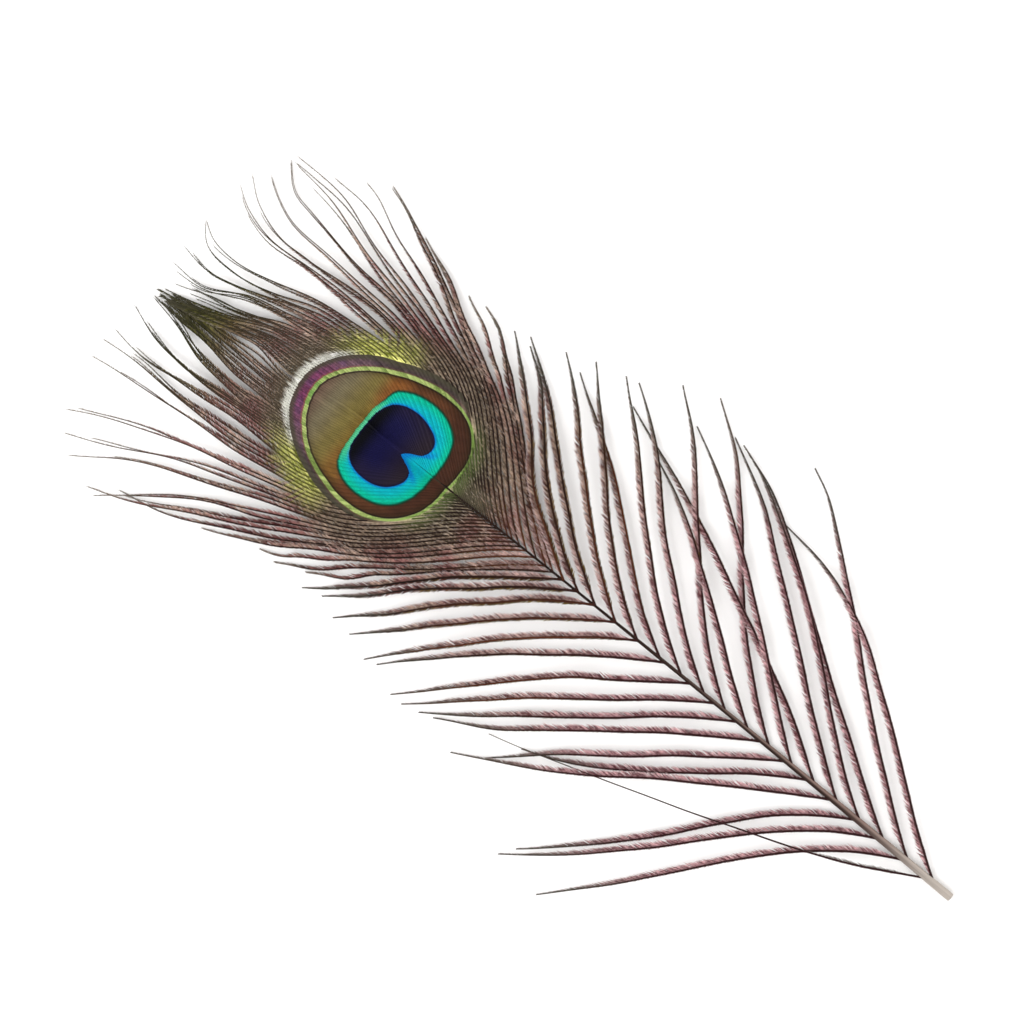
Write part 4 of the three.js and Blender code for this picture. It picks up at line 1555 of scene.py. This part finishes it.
    def group(self, round_eye: bpy.types.NodeTree) -> bpy.types.NodeTree:
        """Makes the group that gives the colours of a barb's barbules and of its rib.

        Args:
            round_eye: The group that measures places round the eye's centre.

        Returns:
            The new group.
        """
        tree, given, result, s = make_group(
            "Barb tones",
            {"X": "Float", "Y": "Float", "Across": "Float", "Strand": "Float", "Shade": "Float"},
            {"Color": "Color", "Rib": "Color"})
        spot = Spot.find(s, round_eye, given, given.outputs["X"])
        past_field, past_violet = (spot.past(s, edge) for edge in (FIELD_EDGE, VIOLET_EDGE))
        lift = s.ease(s.add(s.times(spot.strand, 0.85), s.times(spot.grain, 0.45)), 0.36, 0.92)
        colour, rib = self.vane(s, spot, given.outputs["Across"], lift)
        colour, rib = self.near_eye(s, spot, lift, past_field, past_violet, colour, rib)
        colour, rib = self.crescent(s, spot, lift, past_violet, colour, rib)
        s.feed(result.inputs["Color"], colour)
        s.feed(result.inputs["Rib"], rib)
        return tree


def grain_group() -> bpy.types.NodeTree:
    """Makes the group that draws the slanting barbules of a close-set barb, for shade and relief."""
    tree, given, result, s = make_group(
        "Barbule grain", {"Reach": "Float", "Across": "Float", "Strand": "Float"},
        {"Shade": "Float", "Height": "Float"})
    reach, across = given.outputs["Reach"], given.outputs["Across"]
    slant = s.add(s.add(reach, s.times(across, 0.7)), s.times(given.outputs["Strand"], 3.0))
    wave = s.math("SINE", s.times(slant, 2 * math.pi / 0.4))
    rough = s.noise(s.vector(s.times(slant, 1.5), s.times(given.outputs["Strand"], 60.0), across), 1.6, 3.0)
    height = s.add(s.times(wave, 0.22), rough)
    s.feed(result.inputs["Shade"], s.ease(height, 0.15, 0.85))
    s.feed(result.inputs["Height"], height)
    return tree


@dataclass(frozen=True)
class Kit:
    """The shared node groups, built once and placed in each material."""

    place: bpy.types.NodeTree
    rings: bpy.types.NodeTree
    tones: bpy.types.NodeTree
    grain: bpy.types.NodeTree

    @classmethod
    def make(cls, ground: Ground) -> "Kit":
        """Builds every shared group."""
        round_eye = round_group()
        return cls(place_group(ground), EyePattern().group(round_eye), BarbTones().group(round_eye),
                   grain_group())


class Canvas(Sketch):
    """A material in the making: a sketch with the shader, the place and the mesh's own values."""

    SPECULAR = 0.08

    def __init__(self, name: str, kit: Kit) -> None:
        self.material = bpy.data.materials.new(name)
        self.material.use_nodes = True
        super().__init__(self.material.node_tree)
        self.shader = self.tree.nodes["Principled BSDF"]
        self.shader.inputs["Specular IOR Level"].default_value = self.SPECULAR
        self.kit = kit
        place = self.use(kit.place, Point=self.node("ShaderNodeTexCoord").outputs["Object"])
        self.x, self.y = place.outputs["X"], place.outputs["Y"]
        self.along = self.attribute("along")
        self.reach = self.attribute("reach")
        self.signed = self.attribute("across")
        self.across = self.math("ABSOLUTE", self.signed)
        self.strand = self.attribute("strand")
        grain = self.use(kit.grain, Reach=self.reach, Across=self.across, Strand=self.strand)
        self.grain, self.height = grain.outputs["Shade"], grain.outputs["Height"]

    def tones(self) -> tuple[Socket, Socket]:
        """Places the barb tones, fed with the mesh's own values, and gives barbule and rib colour."""
        made = self.use(self.kit.tones, X=self.x, Y=self.y, Across=self.signed, Strand=self.strand,
                        Shade=self.grain)
        return made.outputs["Color"], made.outputs["Rib"]

    def grainy(self, roughness: float) -> Socket:
        """Gives a roughness that follows the barbules' grain."""
        return self.ease(self.grain, 0.0, 1.0, roughness - 0.12, roughness + 0.1)

    def finish(self, colour: Socket, roughness: Socket, height: Socket, distance: float,
               strength: float) -> bpy.types.Material:
        """Feeds the shader its colour, roughness and relief, and gives the material.

        Args:
            colour: The surface's colour.
            roughness: Its roughness.
            height: The relief's height, 0 to 1.
            distance: The relief's depth, in metres.
            strength: How strongly it shows, 0 to 1.

        Returns:
            The finished material.
        """
        self.feed(self.shader.inputs["Base Color"], colour)
        self.feed(self.shader.inputs["Roughness"], roughness)
        bump = self.node("ShaderNodeBump")
        bump.inputs["Strength"].default_value = strength
        bump.inputs["Distance"].default_value = distance
        self.feed(bump.inputs["Height"], height)
        self.feed(self.shader.inputs["Normal"], bump.outputs[0])
        return self.material


@dataclass(frozen=True)
class QuillFinish:
    """Horn: pale taupe at the cut, near black by the eye, with a dark stripe down its left side."""

    roughness: float = 0.42
    relief: float = 0.00008
    relief_strength: float = 0.5

    def make(self, kit: Kit) -> bpy.types.Material:
        """Makes the shaft's material."""
        s = Canvas("quill horn", kit)
        horn = s.layer(
            s.blend(s.ease(s.x, 4.0, 34.0), paint(208, 198, 188), paint(152, 128, 119)),
            (s.ease(s.x, 48.0, 112.0), paint(56, 43, 38)),
            (s.ease(s.x, 105.0, 138.0), paint(26, 18, 15)),
        )
        fibre = s.noise(s.vector(s.times(s.reach, 0.05), s.times(s.across, 2.6)), 2.4, 4.0)
        horn = s.shade(s.ease(fibre, 0.3, 0.7, 0.82, 1.1), horn)
        stripe = s.times(s.ease(s.signed, -0.45, 0.25), s.ease(s.x, -10.0, 46.0, 0.1, 0.96))
        horn = s.blend(stripe, horn, paint(38, 22, 16))
        horn = s.blend(s.ease(s.strand, 0.2, 0.8), paint(232, 226, 214), horn)
        rough = s.ease(fibre, 0.2, 0.8, self.roughness - 0.08, self.roughness + 0.14)
        return s.finish(horn, rough, fibre, self.relief, self.relief_strength)


@dataclass(frozen=True)
class BarbFinish:
    """Loose barbs: a near-black rib and rose-brown barbules, greyer at the tips, bronze by the eye."""

    roughness: float = 0.6
    relief: float = 0.00006
    relief_strength: float = 0.4
    fuzz: Tint = Tint((84, 78, 74), (176, 164, 158))

    def make(self, kit: Kit) -> bpy.types.Material:
        """Makes the loose barbs' material."""
        s = Canvas("loose barbs", kit)
        colour, rib = s.tones()
        rib = s.blend(s.times(s.ease(s.along, 0.66, 1.0), 0.6), rib, paint(92, 90, 80))
        # Painted shadow: dark specks in the middle of the front barbules on some strands, where overlapping
        # barbules shade each other.
        barbule_overlap_shadow = s.times(s.band(s.across, 0.5, 0.78, 0.1), s.fade(s.strand, 0.5, 0.6))
        colour = s.layer(
            colour,
            (s.ease(s.along, 0.62, 0.94), paint(122, 120, 110)),
            (s.times(barbule_overlap_shadow, 0.6), paint(90, 50, 56)),
            (s.ease(s.signed, 0.6, 1.0, 0.0, 0.75), paint(240, 216, 216)),
        )
        colour = s.shade(s.ease(s.across, 0.2, 0.7, 0.62, 1.04), colour)
        # Back barbules darker: partly their own darker colour, partly painted shadow along that side of the
        # rib.
        colour = s.shade(s.ease(s.signed, -0.3, 0.0, 0.66, 1.0), colour)
        colour = s.blend(s.fade(s.strand, -0.5, -0.2), colour, self.fuzz.at(s, s.grain))
        colour = s.blend(s.ease(s.across, 0.08, 0.27), rib, colour)
        return s.finish(colour, s.grainy(self.roughness), s.height, self.relief, self.relief_strength)


@dataclass(frozen=True)
class EyeFinish:
    """The eye's sheet: iridescent rings on close-set barbs."""

    roughness: float = 0.46
    roughness_outside: float = 0.62
    shine: float = 0.3
    relief: float = 0.00008
    relief_strength: float = 0.45
    underside: Tint = Tint((84, 68, 56), (132, 112, 96))

    def make(self, kit: Kit) -> bpy.types.Material:
        """Makes the sheet's material."""
        s = Canvas("webbed eye", kit)
        outer = s.tones()[0]
        rings = s.use(kit.rings, X=s.x, Y=s.y, Strand=s.strand, Shade=s.grain, Outer=outer)
        inside = rings.outputs["Inside"]
        line = s.times(s.ease(s.across, 0.55, 1.0), s.ease(inside, 0.0, 1.0, 0.5, 0.26))
        colour = s.shade(s.minus(1.0, line), rings.outputs["Color"])
        colour = s.shade(s.ease(s.grain, 0.0, 1.0, 0.8, 1.12), colour)
        horn = self.underside.at(s, s.ease(s.strand, 0.0, 1.0))
        colour = s.blend(s.ease(s.along, 0.4, 0.6), colour, horn)
        s.feed(s.shader.inputs["Metallic"], s.times(rings.outputs["Shine"], self.shine))
        rough = s.ease(inside, 0.0, 1.0, self.roughness_outside, self.roughness)
        return s.finish(colour, rough, s.height, self.relief, self.relief_strength)


@dataclass(frozen=True)
class FringeFinish:
    """The close-set barbs and the fringe: dark ribs and brown barbules, the tips olive or grey and paler."""

    roughness: float = 0.6
    relief: float = 0.00005
    relief_strength: float = 0.4
    tip: Tint = Tint((46, 46, 26), (80, 74, 62))

    def make(self, kit: Kit) -> bpy.types.Material:
        """Makes the fringe's material."""
        s = Canvas("fringe", kit)
        colour, rib = s.tones()
        apart = s.ease(s.apart(s.y, 4.0), 10.0, 26.0)
        darker = s.times(s.ease(s.along, 0.72, 0.97), s.ease(apart, 0.0, 1.0, 0.8, 0.5))
        paler = s.times(s.ease(s.along, 0.86, 1.0), s.ease(apart, 0.0, 1.0, 0.15, 0.6))
        colour = s.blend(s.ease(s.signed, 0.6, 1.0, 0.0, 0.5), colour, paint(226, 210, 202))
        # The rib's dark colour spreads over the barbules' roots: partly their dark roots, partly painted
        # shade beside the rib.
        colour = s.layer(
            s.blend(s.ease(s.across, 0.08, 0.42), rib, colour),
            (darker, self.tip.at(s, apart)),
            (paler, paint(150, 142, 130)),
        )
        return s.finish(colour, s.grainy(self.roughness), s.height, self.relief, self.relief_strength)


@dataclass(frozen=True)
class Studio:
    """A plain pale floor, soft light from above and a camera that looks straight down."""

    floor_size: float = 6.0
    floor_drop: float = 0.0002
    floor_greys: tuple[float, float] = (0.9, 0.92)
    floor_roughness: float = 0.9
    floor_specular: float = 0.1
    sky: tuple[float, float, float, float] = (1.0, 0.98, 0.965, 1.0)
    sky_strength: float = 1.19
    box_size: float = 0.9
    box_energy: float = 10.5
    box_place: tuple[float, float, float] = (0.55, 0.75, 1.1)
    lens: float = 85.0
    sensor: float = 36.0
    view_width: float = 278.8
    view_x: float = 158.5
    view_y: float = -6.2
    heading: float = 218.97

    def floor(self) -> bpy.types.Object:
        """Makes the floor the feather lies on."""
        bpy.ops.mesh.primitive_plane_add(size=self.floor_size, location=(0.0, 0.0, -self.floor_drop))
        floor = bpy.context.object
        floor.name = "floor"
        material = bpy.data.materials.new("pale floor")
        material.use_nodes = True
        sketch = Sketch(material.node_tree)
        shader = material.node_tree.nodes["Principled BSDF"]
        coordinates = sketch.node("ShaderNodeTexCoord")
        cloud = sketch.noise(coordinates.outputs["Object"], 3.0, 2.0)
        dark, light = ((grey, grey, grey, 1.0) for grey in self.floor_greys)
        sketch.feed(shader.inputs["Base Color"], sketch.blend(cloud, dark, light))
        shader.inputs["Roughness"].default_value = self.floor_roughness
        shader.inputs["Specular IOR Level"].default_value = self.floor_specular
        floor.data.materials.append(material)
        return floor

    def lights(self) -> None:
        """Adds the soft light."""
        world = bpy.data.worlds.new("studio")
        world.use_nodes = True
        backdrop = world.node_tree.nodes["Background"]
        backdrop.inputs["Color"].default_value = self.sky
        backdrop.inputs["Strength"].default_value = self.sky_strength
        bpy.context.scene.world = world
        lamp = bpy.data.lights.new("soft box", "AREA")
        lamp.shape = "SQUARE"
        lamp.size = self.box_size
        lamp.energy = self.box_energy
        soft_box = bpy.data.objects.new("soft box", lamp)
        soft_box.location = self.box_place
        soft_box.rotation_euler = (-soft_box.location).to_track_quat("-Z", "Y").to_euler()
        bpy.context.scene.collection.objects.link(soft_box)

    def camera(self, ground: Ground) -> None:
        """Places the camera above the middle of the view, turned to the feather's slant."""
        data = bpy.data.cameras.new("camera")
        data.lens = self.lens
        data.sensor_width = self.sensor
        data.clip_end = 20.0
        camera = bpy.data.objects.new("camera", data)
        distance = self.view_width * MM * self.lens / self.sensor
        target = Vector(ground.to_row(np.array([self.view_x, self.view_y, 0.0])))
        turn = Matrix.Rotation(math.radians(self.heading), 4, "Z")
        camera.matrix_world = Matrix.Translation(target + Vector((0, 0, distance))) @ turn
        bpy.context.scene.collection.objects.link(camera)
        bpy.context.scene.camera = camera

    def build(self, ground: Ground) -> None:
        """Sets the whole stage."""
        self.floor()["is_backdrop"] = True
        self.lights()
        self.camera(ground)
        bpy.context.scene.view_settings.view_transform = "Standard"


@dataclass
class Feather:
    """The whole feather, piece by piece."""

    ground: Ground
    lie: Lie = field(default_factory=Lie)

    def dress(self, piece: bpy.types.Object, material: bpy.types.Material) -> None:
        """Gives a piece its finish, hangs it on the feather's body and hides the solid feather."""
        piece.data.materials.append(material)
        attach(piece, BODY)
        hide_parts(CAD_NODE)
        LOG.info("%s: %d faces", piece.name, len(piece.data.polygons))

    def build(self) -> None:
        """Builds the shaft, the loose barbs, the webbed vane and the fringe."""
        kit = Kit.make(self.ground)
        rng = np.random.default_rng(SEED)
        self.dress(Shaft(self.lie).build(self.ground), QuillFinish().make(kit))
        barbs = BarbFinish().make(kit)
        left = LooseBarbs(self.lie, Side.LEFT, LEFT_BARBS, 0, "left_barbs", STRAY_BARB)
        right = LooseBarbs(self.lie, Side.RIGHT, RIGHT_BARBS, len(LEFT_BARBS), "right_barbs")
        for vane in (left, right):
            self.dress(vane.build(self.ground, rng), barbs)
        eye = EyeFinish().make(kit)
        fringe = FringeFinish().make(kit)
        for side, rim, locks, habit, word in (
                (Side.LEFT, LEFT_RIM, LEFT_FRINGE, (1.25, (0.85, 0.62)), "left"),
                (Side.RIGHT, RIGHT_RIM, RIGHT_FRINGE, (1.32, (0.8, 0.5)), "right")):
            web = Web(self.lie, side, rim, locks, *habit)
            found = web.barbs()
            self.dress(EyeSheet(web, f"{word}_eye").build(self.ground, found, rng), eye)
            flank = [barb for barb in found if barb.foot < FLANK_END]
            tufts = [barb for barb in found if barb.foot >= FLANK_END]
            for barbs_there, name in ((flank, f"{word}_flank"), (tufts, f"{word}_fringe")):
                hairs = WebHairs(web, name).build(self.ground, barbs_there, rng)
                self.dress(hairs, fringe)


def corners(box: Sequence[Sequence[float]]) -> list[list[float]]:
    """Turns a box into plain lists."""
    return [list(map(float, corner)) for corner in box]


def main() -> None:
    """Builds the feather on its stage and measures both boxes."""
    logging.basicConfig(level=logging.INFO, format="%(name)s: %(message)s")
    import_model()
    solid_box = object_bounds()
    ground = Ground.from_frame()
    Studio().build(ground)
    Feather(ground).build()
    {"solid": corners(solid_box), "visual": corners(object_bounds())}


if __name__ == "__main__":
    main()
